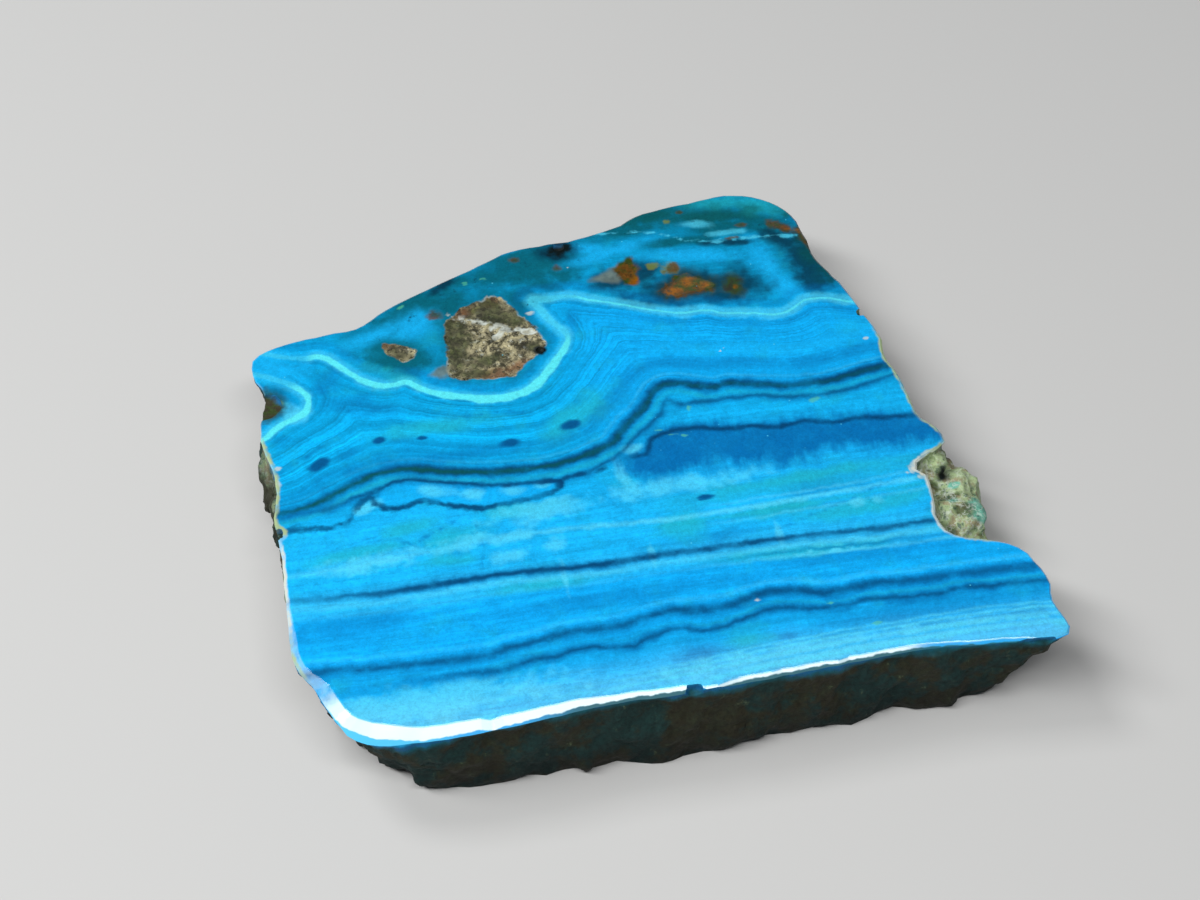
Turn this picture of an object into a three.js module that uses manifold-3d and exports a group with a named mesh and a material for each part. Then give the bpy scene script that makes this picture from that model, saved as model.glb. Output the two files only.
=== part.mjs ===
// A slab of banded chrysocolla: one stone, sawn flat underneath, ground and polished on top,
// with broken natural walls, a polished bevel along its front edge and a ledge of rough matrix at the right.
// Millimetres, +Z up, +X along the bands and the front edge, +Y to the back, z = 0 on the sawn underside.
import * as THREE from 'three';
import { ImprovedNoise } from 'three/addons/math/ImprovedNoise.js';
import { mergeVertices } from 'three/addons/utils/BufferGeometryUtils.js';
import Module from 'manifold-3d';

// Driving dimensions
const THICKNESS = 6.5;
const WALL_COLUMNS = 240; // points around each ring of the wall
const WALL_LEVELS = [1, 0.92, 0.8, 0.67, 0.54, 0.41, 0.28, 0.14, 0]; // ring heights as shares of the wall
const ARRIS = 0.14; // width of the small rounding where the polished face meets a broken wall
const ARRIS_DROP = 0.1;
const BEVEL_SLOPE = 0.62; // how far the polished bevel drops for each millimetre of its width
const FOOT_ROUNDING = 0.3; // how far the worn lower edge draws in at the underside

// Rough relief of the broken walls: size of each kind of form, how far it stands in or out, and the
// place in the noise that it is taken from
const LUMP = { size: 5.2, depth: 0.42, seed: 11.3 };
const RIDGE = { size: 4.3, depth: 0.26, seed: 5.1 };
const RIDGE_LEVEL = 0.3; // share by which the ridges are sunk, so that only their crests stand out
const KNOB = { size: 2.1, depth: 0.2, seed: 2.9 };
const NICK = { size: 0.9, depth: 0.07, seed: 3.7 }; // raggedness of the polished face's own edge
const SMOOTH_RIM = 0.25; // share of the wall's height over which the roughness grows from nothing
const COARSE_SHARE = 1.3; // strength of the coarse layer of a relief
const FINE_SHARE = 0.6; // strength of the layer with lumps half as large
const CREST_SHARPNESS = 4;

// Outline of the polished face, clockwise from the back left corner
const FACE_OUTLINE = [
  [-24.9, 11.8], [-23.6, 12.7], [-19.6, 13.5], [-17.2, 13.8], [-15.3, 15.1], [-12.4, 16.6], [-10.6, 17.4],
  [-7.6, 18.8], [-4.9, 19.9], [-0.5, 20.2], [3.0, 21.1], [5.0, 22.1], [8.9, 22.8], [12.2, 23.1],
  [14.1, 22.5], [16.1, 20.5], [16.7, 18.2], [17.0, 15.3], [18.2, 12.2], [18.9, 9.6], [19.4, 7.8],
  [19.7, 6.0], [19.5, 4.5], [20.0, 2.6], [20.2, 0.4], [20.4, -1.6], [21.3, -2.8], [21.6, -4.2],
  [20.4, -5.0], [18.9, -6.1], [19.5, -7.0], [19.4, -9.2], [19.2, -11.1], [20.0, -12.5], [22.2, -13.3],
  [23.9, -14.3], [24.8, -16.4], [25.0, -17.6], [24.7, -18.6], [25.0, -21.7], [20.6, -21.7], [15.4, -21.3],
  [9.0, -21.6], [1.2, -22.0], [-6.0, -22.0], [-12.6, -22.6], [-18.8, -22.5], [-21.2, -21.6], [-22.2, -20.3],
  [-23.2, -17.7], [-24.3, -15.8], [-24.5, -11.0], [-24.4, -7.0], [-24.6, -3.4], [-24.3, -1.2], [-24.3, 0.8],
  [-24.9, 3.8], [-24.7, 6.4], [-24.4, 8.6], [-24.9, 9.9],
];

// How far the foot of the wall stands from the face's edge, near each place on that edge
const WALL_LEANS = [
  { at: [-21.6, -21.4], foot: [2.3, 1.5] }, // front left corner, undercut
  { at: [-23.4, -17.0], foot: [2.0, 0.4] },
  { at: [-16.0, -22.6], foot: [0.4, -0.1] },
  { at: [-3.0, -22.0], foot: [0.0, -0.8] },
  { at: [10.0, -21.5], foot: [-0.2, -0.5] },
  { at: [17.5, -21.5], foot: [-1.6, -0.3] },
  { at: [25.0, -21.7], foot: [-5.0, 0.6] }, // front right corner, broken away underneath
  { at: [24.8, -16.5], foot: [-4.6, 0.5] },
  { at: [22.4, -13.4], foot: [-2.4, 0.4] },
  { at: [19.3, -9.5], foot: [1.6, 0.0] }, // under the matrix ledge
  { at: [21.3, -4.2], foot: [-0.6, 0.0] },
  { at: [19.8, 4.0], foot: [-0.9, 0.1] },
  { at: [17.0, 16.0], foot: [0.5, 0.3] },
  { at: [12.0, 23.1], foot: [-0.4, -1.5] },
  { at: [0.0, 20.2], foot: [0.2, -0.5] },
  { at: [-12.0, 16.8], foot: [0.6, -1.2] },
  { at: [-20.0, 13.5], foot: [0.4, 0.3] },
  { at: [-24.8, 10.5], foot: [1.1, -0.4] },
  { at: [-24.8, 3.5], foot: [-0.2, 0.1] },
  { at: [-24.4, -8.0], foot: [0.6, 0.0] },
];

// Width of the polished bevel near places on the edge; it dies out towards zero elsewhere
const BEVEL_WIDTHS = [
  { at: [-24.4, -9.0], width: 0.3 },
  { at: [-24.0, -15.6], width: 0.55 },
  { at: [-22.3, -19.6], width: 0.9 },
  { at: [-20.6, -21.9], width: 1.25 },
  { at: [-16.0, -22.6], width: 0.85 },
  { at: [-9.0, -22.2], width: 0.7 },
  { at: [-3.0, -22.0], width: 0.5 },
  { at: [6.0, -21.8], width: 0.42 },
  { at: [13.0, -21.4], width: 0.38 },
  { at: [19.0, -21.6], width: 0.3 },
];
const BEVEL_REACH = 2.6; // distance at which a stated width has faded
const STATION_BLUR = 0.2; // keeps a value from jumping close to its station, in cubic millimetres

// Rough blocks of matrix: centre, half sizes, height of their relief and the size of its lumps.
// The ledge fills the notch at the right, and the knolls stand out under the left and right edges.
const LEDGE = { centre: [20.3, -8.3, 2.9], radii: [3.0, 4.8, 2.2], height: 0.75, grain: 1.4 };
const KNOLLS = [
  { centre: [-24.3, 2.8, 3.9], radii: [0.9, 2.9, 1.8], height: 0.35, grain: 1.2 },
  { centre: [-24.0, -1.4, 3.9], radii: [0.8, 1.7, 1.6], height: 0.35, grain: 1.2 },
  { centre: [20.5, -4.9, 4.4], radii: [1.2, 1.4, 1.4], height: 0.35, grain: 1.0 },
];
const BLOCKINESS = 0.7; // power that squares a round block off; 1 leaves it round
const BLOCK_RELIEF = { seed: 8.9, crestSeed: 1.7, crestShare: 0.6 };
const BLOCK_FACETS = { ledge: 6, knoll: 3, pit: 2 }; // how finely each kind of block is divided

// Pits, vugs and chips: broken hollows with a rough floor
const PITS = [
  { centre: [-24.5, 7.1, 6.6], radii: [1.2, 1.2, 0.5], height: 0.15, grain: 0.8 }, // hollow on the left edge
  { centre: [-24.8, 0.1, 6.2], radii: [0.5, 0.6, 0.9], height: 0.15, grain: 0.6 },
  { centre: [-24.5, -4.6, 6.0], radii: [0.4, 0.5, 0.7], height: 0.15, grain: 0.6 },
  { centre: [-4.6, 9.3, 6.6], radii: [0.36, 0.3, 0.45], height: 0.08, grain: 0.5 }, // hole in the brown rock
  { centre: [-1.6, 19.6, 6.6], radii: [0.45, 0.4, 0.3], height: 0.1, grain: 0.5 },
  { centre: [0.35, -22.2, 6.5], radii: [0.6, 0.6, 0.7], height: 0.15, grain: 0.6 }, // chip in the front edge
  { centre: [14.9, -21.8, 6.2], radii: [1.1, 0.35, 0.5], height: 0.15, grain: 0.6 },
  { centre: [22.9, -22.1, 6.3], radii: [1.2, 0.4, 0.5], height: 0.15, grain: 0.6 },
  { centre: [20.4, -6.8, 6.0], radii: [0.5, 0.5, 1.1], height: 0.15, grain: 0.6 }, // dark sockets by the ledge
  { centre: [20.4, -5.4, 6.4], radii: [0.35, 0.4, 0.6], height: 0.1, grain: 0.6 },
  { centre: [18.9, 9.1, 6.4], radii: [0.3, 0.35, 0.5], height: 0.1, grain: 0.5 },
  { centre: [17.2, 18.6, 3.4], radii: [0.9, 1.8, 1.1], height: 0.4, grain: 1.3 },
  { centre: [2.4, 21.2, 3.2], radii: [2.3, 0.8, 1.0], height: 0.4, grain: 1.3 },
  { centre: [-16.2, 14.6, 3.0], radii: [1.6, 0.9, 1.2], height: 0.4, grain: 1.3 },
  { centre: [-17.6, -23.1, 2.9], radii: [1.8, 0.6, 0.9], height: 0.3, grain: 1.2 },
  { centre: [4.4, -22.9, 3.0], radii: [2.0, 0.6, 0.8], height: 0.3, grain: 1.2 },
];

const WELD_DISTANCE = 1e-4; // corners closer than this are one corner
const TANGENT_SPAN = 2; // columns to each side that give the direction of the edge

const wasm = await Module();
wasm.setup();
const noise = new ImprovedNoise();

// Two layers of smooth noise, about -1 to 1, with lumps of the given size
function relief(point, size, seed) {
  const half = size / 2;
  const coarse = noise.noise(point.x / size + seed, point.y / size, point.z / size);
  const fine = noise.noise(point.x / half, point.y / half + seed, point.z / half);
  return coarse * COARSE_SHARE + fine * FINE_SHARE;
}

// Sharp crests where the noise crosses zero, from -1 in the hollows to 1 on a crest
function crests(point, size, seed) {
  const smooth = noise.noise(point.x / size + seed, point.y / size, point.z / size);
  return 1 - CREST_SHARPNESS * Math.abs(smooth);
}

// Value at a place, blended from named stations by how near each one is
function blendAt(stations, x, y, read) {
  let total = 0;
  let sum = 0;
  for (const station of stations) {
    const away = Math.hypot(x - station.at[0], y - station.at[1]);
    const weight = 1 / (away * away * away + STATION_BLUR);
    total += weight;
    sum += weight * read(station);
  }
  return sum / total;
}

// Width of the bevel at a place on the edge, never less than the small rounding
function bevelWidth(x, y) {
  const nearest = Math.min(...BEVEL_WIDTHS.map(({ at }) => Math.hypot(x - at[0], y - at[1])));
  const fade = THREE.MathUtils.smoothstep(2 * BEVEL_REACH - nearest, 0, BEVEL_REACH);
  return Math.max(ARRIS, fade * blendAt(BEVEL_WIDTHS, x, y, (station) => station.width));
}

// Evenly spaced points on the face's edge, each with the direction that points out of the stone
function edgeColumns() {
  const knots = FACE_OUTLINE.map(([x, y]) => new THREE.Vector3(x, y, 0));
  const curve = new THREE.CatmullRomCurve3(knots, true, 'centripetal');
  const points = curve.getSpacedPoints(WALL_COLUMNS).slice(0, WALL_COLUMNS);
  const around = (index) => points[(index + WALL_COLUMNS) % WALL_COLUMNS];
  return points.map((point, index) => {
    const along = around(index + TANGENT_SPAN).clone().sub(around(index - TANGENT_SPAN)).normalize();
    const outward = new THREE.Vector3(-along.y, along.x, 0);
    const ragged = NICK.depth * relief(point, NICK.size, NICK.seed);
    return { edge: point.clone().addScaledVector(outward, ragged), outward };
  });
}

// Rings of points from the polished face down to the underside
function wallRings(columns) {
  const face = [];
  const levels = WALL_LEVELS.map(() => []);
  for (const { edge, outward } of columns) {
    const width = bevelWidth(edge.x, edge.y);
    const drop = width > ARRIS ? width * BEVEL_SLOPE : ARRIS_DROP;
    face.push(edge.clone().addScaledVector(outward, -width).setZ(THICKNESS));
    const leanX = blendAt(WALL_LEANS, edge.x, edge.y, (station) => station.foot[0]);
    const leanY = blendAt(WALL_LEANS, edge.x, edge.y, (station) => station.foot[1]);
    WALL_LEVELS.forEach((share, ring) => {
      const depth = 1 - share;
      const point = edge.clone().add(new THREE.Vector3(leanX * depth, leanY * depth, 0));
      point.z = (THICKNESS - drop) * share;
      const rough = Math.min(1, depth / SMOOTH_RIM);
      const lump = LUMP.depth * relief(point, LUMP.size, LUMP.seed);
      const ridge = RIDGE.depth * (crests(point, RIDGE.size, RIDGE.seed) - RIDGE_LEVEL);
      const knob = KNOB.depth * relief(point, KNOB.size, KNOB.seed);
      const worn = share === 0 ? FOOT_ROUNDING : 0;
      point.addScaledVector(outward, rough * (lump + ridge + knob) - worn);
      levels[ring].push(point);
    });
  }
  return [face, ...levels];
}

// Closed mesh from stacked rings, with the first and last ring filled flat
function stackGeometry(rings) {
  const count = rings[0].length;
  const positions = rings.flat().flatMap((point) => [point.x, point.y, point.z]);
  const triangles = [];
  for (let ring = 0; ring < rings.length - 1; ring += 1) {
    for (let column = 0; column < count; column += 1) {
      const next = (column + 1) % count;
      const upper = ring * count;
      const lower = upper + count;
      triangles.push(upper + column, upper + next, lower + next);
      triangles.push(upper + column, lower + next, lower + column);
    }
  }
  const fill = (ring, faceUp) => {
    const flat = rings[ring].map((point) => new THREE.Vector2(point.x, point.y));
    for (const [a, b, c] of THREE.ShapeUtils.triangulateShape(flat, [])) {
      const corners = [flat[a], flat[b], flat[c]];
      const isUp = THREE.ShapeUtils.area(corners) > 0;
      const ordered = isUp === faceUp ? [a, b, c] : [a, c, b];
      triangles.push(...ordered.map((corner) => corner + ring * count));
    }
  };
  fill(0, true);
  fill(rings.length - 1, false);
  const geometry = new THREE.BufferGeometry();
  geometry.setAttribute('position', new THREE.Float32BufferAttribute(positions, 3));
  geometry.setIndex(triangles);
  return geometry;
}

// Rough block: a ball of flat facets, squared off, stretched to its radii and broken up by noise
function roughBlock({ centre, radii, height, grain }, detail) {
  const ball = new THREE.IcosahedronGeometry(1, detail);
  ball.deleteAttribute('normal');
  ball.deleteAttribute('uv');
  const block = mergeVertices(ball, WELD_DISTANCE);
  const corners = block.getAttribute('position');
  const origin = new THREE.Vector3(...centre);
  const squared = (value) => Math.sign(value) * Math.abs(value) ** BLOCKINESS;
  for (let i = 0; i < corners.count; i += 1) {
    const direction = new THREE.Vector3().fromBufferAttribute(corners, i);
    const corner = new THREE.Vector3(squared(direction.x), squared(direction.y), squared(direction.z));
    const point = corner.multiply(new THREE.Vector3(...radii)).add(origin);
    const lumps = relief(point, grain, BLOCK_RELIEF.seed);
    const edges = BLOCK_RELIEF.crestShare * crests(point, 2 * grain, BLOCK_RELIEF.crestSeed);
    point.addScaledVector(direction, height * (lumps + edges));
    corners.setXYZ(i, point.x, point.y, point.z);
  }
  return block;
}

// Solid for joining and cutting
function toSolid(geometry) {
  return new wasm.Manifold(new wasm.Mesh({
    numProp: 3,
    vertProperties: new Float32Array(geometry.getAttribute('position').array),
    triVerts: new Uint32Array(geometry.getIndex().array),
  }));
}

function toGeometry(solid) {
  const mesh = solid.getMesh();
  const geometry = new THREE.BufferGeometry();
  geometry.setAttribute('position', new THREE.Float32BufferAttribute(mesh.vertProperties, 3));
  geometry.setIndex(new THREE.Uint32BufferAttribute(mesh.triVerts, 1));
  return geometry;
}

// The largest closed surface alone, without loose crumbs or sealed bubbles left between rough surfaces
function mainBody(solid) {
  const pieces = solid.decompose();
  return pieces.reduce((best, piece) => (piece.volume() > best.volume() ? piece : best));
}

// The slab with its ledge and knolls joined on and its pits and chips broken out
function slabGeometry() {
  let solid = toSolid(stackGeometry(wallRings(edgeColumns())));
  solid = solid.add(toSolid(roughBlock(LEDGE, BLOCK_FACETS.ledge)));
  for (const knoll of KNOLLS) {
    solid = solid.add(toSolid(roughBlock(knoll, BLOCK_FACETS.knoll)));
  }
  for (const pit of PITS) {
    solid = solid.subtract(toSolid(roughBlock(pit, BLOCK_FACETS.pit)));
  }
  return toGeometry(mainBody(solid));
}

const stone = new THREE.MeshStandardMaterial({ color: 0x0d8fd0, roughness: 0.22, metalness: 0 });
stone.flatShading = true;

const slab = new THREE.Mesh(slabGeometry(), stone);
slab.name = 'chrysocolla_slab';

const specimen = new THREE.Group();
specimen.name = 'chrysocolla_specimen';
specimen.add(slab);

export default specimen;
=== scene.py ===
"""Polished slab of banded chrysocolla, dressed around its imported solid, with the stage it is seen on.

The slab's shape comes from the frame. This script refines that shape and breaks up its rough walls. It then
traces the bands and the rock inclusions over it as distances in millimetres, and the finishes read those.
"""
from math import cos, radians, sin

import bmesh
import bpy
import numpy as np
from bpy.props import FloatProperty, FloatVectorProperty, IntProperty, PointerProperty
from mathutils import Matrix, Vector, noise
from mathutils.kdtree import KDTree


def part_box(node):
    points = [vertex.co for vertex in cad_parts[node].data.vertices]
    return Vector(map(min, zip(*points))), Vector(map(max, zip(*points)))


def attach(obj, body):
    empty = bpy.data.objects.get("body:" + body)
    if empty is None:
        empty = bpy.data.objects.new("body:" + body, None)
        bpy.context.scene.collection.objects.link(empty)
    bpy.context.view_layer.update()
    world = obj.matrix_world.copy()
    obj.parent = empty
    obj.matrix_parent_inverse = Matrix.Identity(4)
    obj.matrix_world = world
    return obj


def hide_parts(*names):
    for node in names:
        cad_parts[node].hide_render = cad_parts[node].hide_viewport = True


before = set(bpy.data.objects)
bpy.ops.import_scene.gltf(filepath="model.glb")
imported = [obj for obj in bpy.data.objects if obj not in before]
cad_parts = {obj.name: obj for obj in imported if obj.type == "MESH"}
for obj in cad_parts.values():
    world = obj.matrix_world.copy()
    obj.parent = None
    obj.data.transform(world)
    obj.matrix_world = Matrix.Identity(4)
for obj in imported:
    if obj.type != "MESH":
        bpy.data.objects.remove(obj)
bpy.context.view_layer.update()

bl_info = {
    "name": "Banded chrysocolla slab",
    "version": (1, 0, 0),
    "blender": (4, 5, 0),
    "location": "3D View > Sidebar > Specimen",
    "description": "Dresses a polished slab of banded chrysocolla and sets the stage it is seen on",
    "category": "Add Mesh",
}

NODE = "chrysocolla_slab"
MM = 0.001
LOW, HIGH = (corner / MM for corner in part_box(NODE))
TOP = HIGH.z  # height of the polished face, in millimetres
POLISHED, BROKEN, SAWN = range(3)  # material slots of the slab

# Lines of the banding across the polished face, from left to right, in millimetres
TURQUOISE_LINE = [
    (-27.0, 3.0), (-24.7, 3.95), (-23.7, 5.1), (-22.1, 5.8), (-21.35, 6.5), (-21.25, 7.5), (-22.0, 8.6),
    (-23.2, 9.5), (-25.2, 10.6), (-27.0, 12.0), (-26.0, 13.6), (-24.3, 12.5), (-22.4, 11.5), (-20.95, 11.3),
    (-20.3, 11.45), (-19.45, 10.9), (-18.5, 9.6), (-17.4, 8.45), (-16.2, 7.7), (-15.2, 7.65), (-14.35, 7.9),
    (-13.7, 7.2), (-12.7, 6.4), (-11.0, 5.75), (-9.0, 5.15), (-7.3, 5.1), (-6.05, 5.5), (-5.15, 6.15),
    (-3.9, 7.65), (-2.75, 9.1), (-2.3, 10.2), (-2.7, 11.1), (-3.5, 12.3), (-4.0, 13.6), (-4.6, 14.5),
    (-3.3, 14.3), (-1.7, 14.45), (0.0, 13.55), (2.0, 12.85), (4.05, 11.85), (6.0, 11.15), (8.0, 11.3),
    (9.0, 10.6), (10.9, 10.4), (12.9, 9.8), (14.2, 10.2), (14.65, 10.65), (15.3, 11.05), (16.7, 10.95),
    (18.1, 10.4), (19.3, 9.9), (22.0, 9.0),
]
DARK_BAND = [
    (-27.0, -3.0), (-24.3, -2.9), (-23.0, -2.8), (-22.0, -2.5), (-21.0, -2.0), (-19.2, -1.1), (-17.5, -0.45),
    (-16.0, -0.3), (-14.9, -0.3), (-13.0, -0.9), (-10.0, -1.6), (-8.0, -1.7), (-6.0, -1.85), (-4.0, -1.5),
    (-2.0, -0.75), (-1.0, -0.4), (-0.2, 0.75), (0.4, 1.45), (1.2, 2.0), (2.3, 3.5), (2.9, 4.3), (3.7, 4.55),
    (4.6, 4.4), (6.35, 3.75), (7.15, 3.55), (8.0, 3.8), (9.15, 3.5), (11.0, 3.1), (12.0, 2.8), (14.3, 2.75),
    (15.45, 2.8), (17.75, 3.35), (19.6, 3.6), (23.0, 4.0),
]
THIN_LINE = [
    (-27.0, -3.6), (-21.0, -3.0), (-19.0, -2.4), (-17.3, -1.75), (-16.0, -1.3), (-15.0, -1.25),
    (-13.0, -2.0), (-11.0, -2.6), (-9.0, -2.9), (-6.0, -3.0), (-5.2, -3.2), (-4.5, -2.9), (-3.5, -2.9),
    (-2.2, -2.2), (-0.9, -1.8), (0.25, -0.4), (1.4, 0.4), (2.65, 1.55), (3.1, 2.45), (3.5, 3.05),
    (3.8, 2.45), (4.3, 2.2), (5.55, 2.45), (6.8, 2.2), (7.5, 2.45), (8.2, 2.25), (9.15, 2.35), (10.3, 2.1),
    (12.6, 1.6), (14.9, 1.55), (17.2, 1.85), (19.5, 2.5), (23.0, 2.9),
]
DEEP_LINE = [
    (-27.0, -4.0), (-8.0, -3.4), (-0.5, -1.9), (1.0, -1.9), (1.3, -1.5), (1.5, -0.6), (2.65, -0.05),
    (5.2, 0.0), (6.0, -0.3), (7.7, -0.55), (8.7, -0.4), (10.3, -1.0), (11.45, -0.8), (12.95, -0.75),
    (14.9, -1.3), (16.0, -0.97), (17.65, -1.4), (19.5, -1.4), (23.0, -1.6),
]
LOWER_BAND = [
    (-27.0, -10.4), (-24.0, -10.5), (-20.0, -10.8), (-17.0, -10.85), (-12.0, -10.6), (-7.0, -10.75),
    (-5.0, -10.95), (0.0, -10.8), (5.8, -10.8), (9.7, -10.85), (13.0, -11.1), (19.0, -11.1), (24.0, -11.2),
]
TWIN_BAND = [
    (-27.0, -16.4), (-21.2, -16.6), (-20.0, -16.9), (-12.0, -17.1), (-11.2, -17.0), (-10.8, -16.6),
    (-9.0, -16.6), (-7.0, -16.1), (-3.2, -16.3), (-2.5, -15.9), (-0.5, -15.6), (0.5, -15.55), (1.5, -15.8),
    (4.3, -15.8), (5.0, -15.45), (7.0, -15.1), (8.5, -15.3), (10.0, -15.85), (11.0, -15.9), (13.0, -15.6),
    (15.0, -15.8), (22.0, -15.95), (27.0, -16.0),
]
PAIR_BAND = [
    (-27.0, -18.3), (-16.0, -18.4), (-13.5, -18.2), (-12.5, -18.5), (-10.7, -18.3), (-9.8, -17.9),
    (-8.0, -17.9), (-6.3, -17.45), (-3.5, -17.9), (-2.6, -17.9), (-2.2, -17.4), (-0.8, -17.2), (0.5, -16.9),
    (1.5, -17.6), (3.0, -17.5), (5.0, -16.9), (6.0, -16.5), (8.0, -16.5), (9.0, -17.0), (11.8, -17.1),
    (12.5, -16.8), (14.5, -17.0), (18.0, -17.2), (19.0, -16.9), (22.0, -17.2), (27.0, -17.3),
]
FRONT_LIGHT = [
    (-27.0, -20.6), (-8.0, -20.5), (0.0, -20.3), (4.0, -19.8), (8.0, -19.5), (13.9, -19.3), (20.0, -19.1),
    (24.5, -19.4), (27.0, -19.5),
]
MIDDLE_LIGHT = [
    (-27.0, -8.5), (-18.0, -8.3), (-13.0, -7.8), (-9.0, -7.5), (-4.0, -7.5), (0.0, -7.9), (6.0, -7.8),
    (12.0, -7.6), (19.0, -7.1), (27.0, -6.8),
]
FRONT_EDGE = [(-27.0, -22.6), (27.0, -22.2)]
LINES = {
    "turquoise": TURQUOISE_LINE, "dark": DARK_BAND, "thin": THIN_LINE, "deep": DEEP_LINE, "lower": LOWER_BAND,
    "twin": TWIN_BAND, "pair": PAIR_BAND, "middle_light": MIDDLE_LIGHT, "front_light": FRONT_LIGHT,
    "front": FRONT_EDGE,
}
LAYER_GUIDES = ("turquoise", "dark", "lower", "twin", "front")  # the layers between them fold as they do
BACK_LAYER = 8.0  # thickness that the layer behind the turquoise line is taken to have
FAR_BEHIND = [(60.0, 60.0), (-60.0, 60.0)]  # corners behind the slab that close a line into an outline
FAR_FROM_PATCHES = -4.0  # strength that a patch has at least, however far away
SHARP_TURN = radians(20)  # edges of the polished face that turn more than this stay crisp

# Outlines of what lies in the bands
POCKET = [
    (-17.9, -2.7), (-17.6, -3.3), (-17.0, -3.7), (-16.0, -3.75), (-14.6, -3.4), (-14.0, -3.6), (-12.0, -4.4),
    (-11.0, -4.8), (-9.0, -4.6), (-7.0, -4.3), (-5.5, -4.0), (-5.0, -3.4), (-6.0, -3.0), (-9.0, -2.9),
    (-11.0, -2.6), (-13.0, -2.0), (-15.0, -1.25), (-16.0, -1.3), (-17.3, -1.75),
]
DEEP_POOL = [
    (-0.4, -2.0), (-0.3, -3.2), (1.0, -4.0), (2.0, -3.8), (5.0, -3.3), (8.0, -3.6), (11.0, -4.2),
    (14.0, -3.2), (16.0, -3.5), (20.5, -4.0), (24.0, -3.6), (22.0, -1.5), (17.6, -1.4), (12.9, -0.8),
    (8.0, -0.5), (5.2, 0.0), (2.2, -0.1), (1.3, -1.5),
]
BROWN_ROCK = [
    (-7.3, 15.6), (-6.4, 14.7), (-5.8, 13.8), (-5.35, 12.75), (-4.5, 11.5), (-4.2, 10.7), (-3.95, 10.0),
    (-4.2, 9.4), (-5.7, 8.1), (-6.35, 7.4), (-7.0, 7.05), (-8.5, 6.95), (-10.0, 7.35), (-11.3, 7.7),
    (-11.5, 8.3), (-11.35, 8.9), (-11.3, 9.5), (-11.0, 12.0), (-11.05, 13.2), (-10.3, 13.8), (-9.5, 14.45),
    (-8.9, 14.8), (-8.1, 15.0),
]
BROWN_WEDGE = [(-15.8, 12.0), (-14.2, 11.4), (-13.1, 10.6), (-14.1, 9.5), (-15.2, 10.6), (-15.6, 11.3)]
GREY_TAIL = [(-11.2, 7.65), (-12.8, 8.0), (-12.3, 8.6), (-11.3, 9.1)]
GREY_WEDGE = [(-0.1, 15.7), (2.0, 16.7), (2.7, 17.2), (2.6, 15.0), (0.8, 15.4)]
RED_WEDGE = [(2.0, 16.7), (3.6, 17.9), (3.9, 17.0), (3.8, 15.2), (3.4, 14.5), (2.5, 14.9), (2.3, 16.0)]
RUST_CLUSTER = [
    (5.1, 13.3), (5.5, 14.0), (6.2, 14.4), (6.7, 15.1), (7.3, 15.4), (7.8, 14.7), (9.0, 14.0), (9.1, 13.5),
    (8.2, 13.3), (6.9, 13.2), (5.7, 12.8),
]
OLIVE_SQUARE = [(9.8, 12.5), (9.8, 14.3), (10.9, 14.4), (11.0, 12.4)]
EDGE_CRYSTAL = [(19.9, -5.3), (19.2, -6.1), (19.05, -6.9), (19.4, -7.1), (19.9, -6.8), (19.75, -6.2)]
LEFT_HOLLOW = [
    (-24.4, 8.6), (-23.7, 8.2), (-23.0, 7.05), (-23.5, 6.3), (-24.8, 5.7), (-26.0, 5.6), (-26.0, 8.6),
]
LOOPS = {
    "pocket": [POCKET],
    "pool": [DEEP_POOL],
    "brown": [BROWN_ROCK, BROWN_WEDGE, EDGE_CRYSTAL],
    "grey": [GREY_WEDGE, GREY_TAIL],
    "red": [RED_WEDGE],
    "rust": [RUST_CLUSTER],
    "olive": [OLIVE_SQUARE, LEFT_HOLLOW],
}

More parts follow.
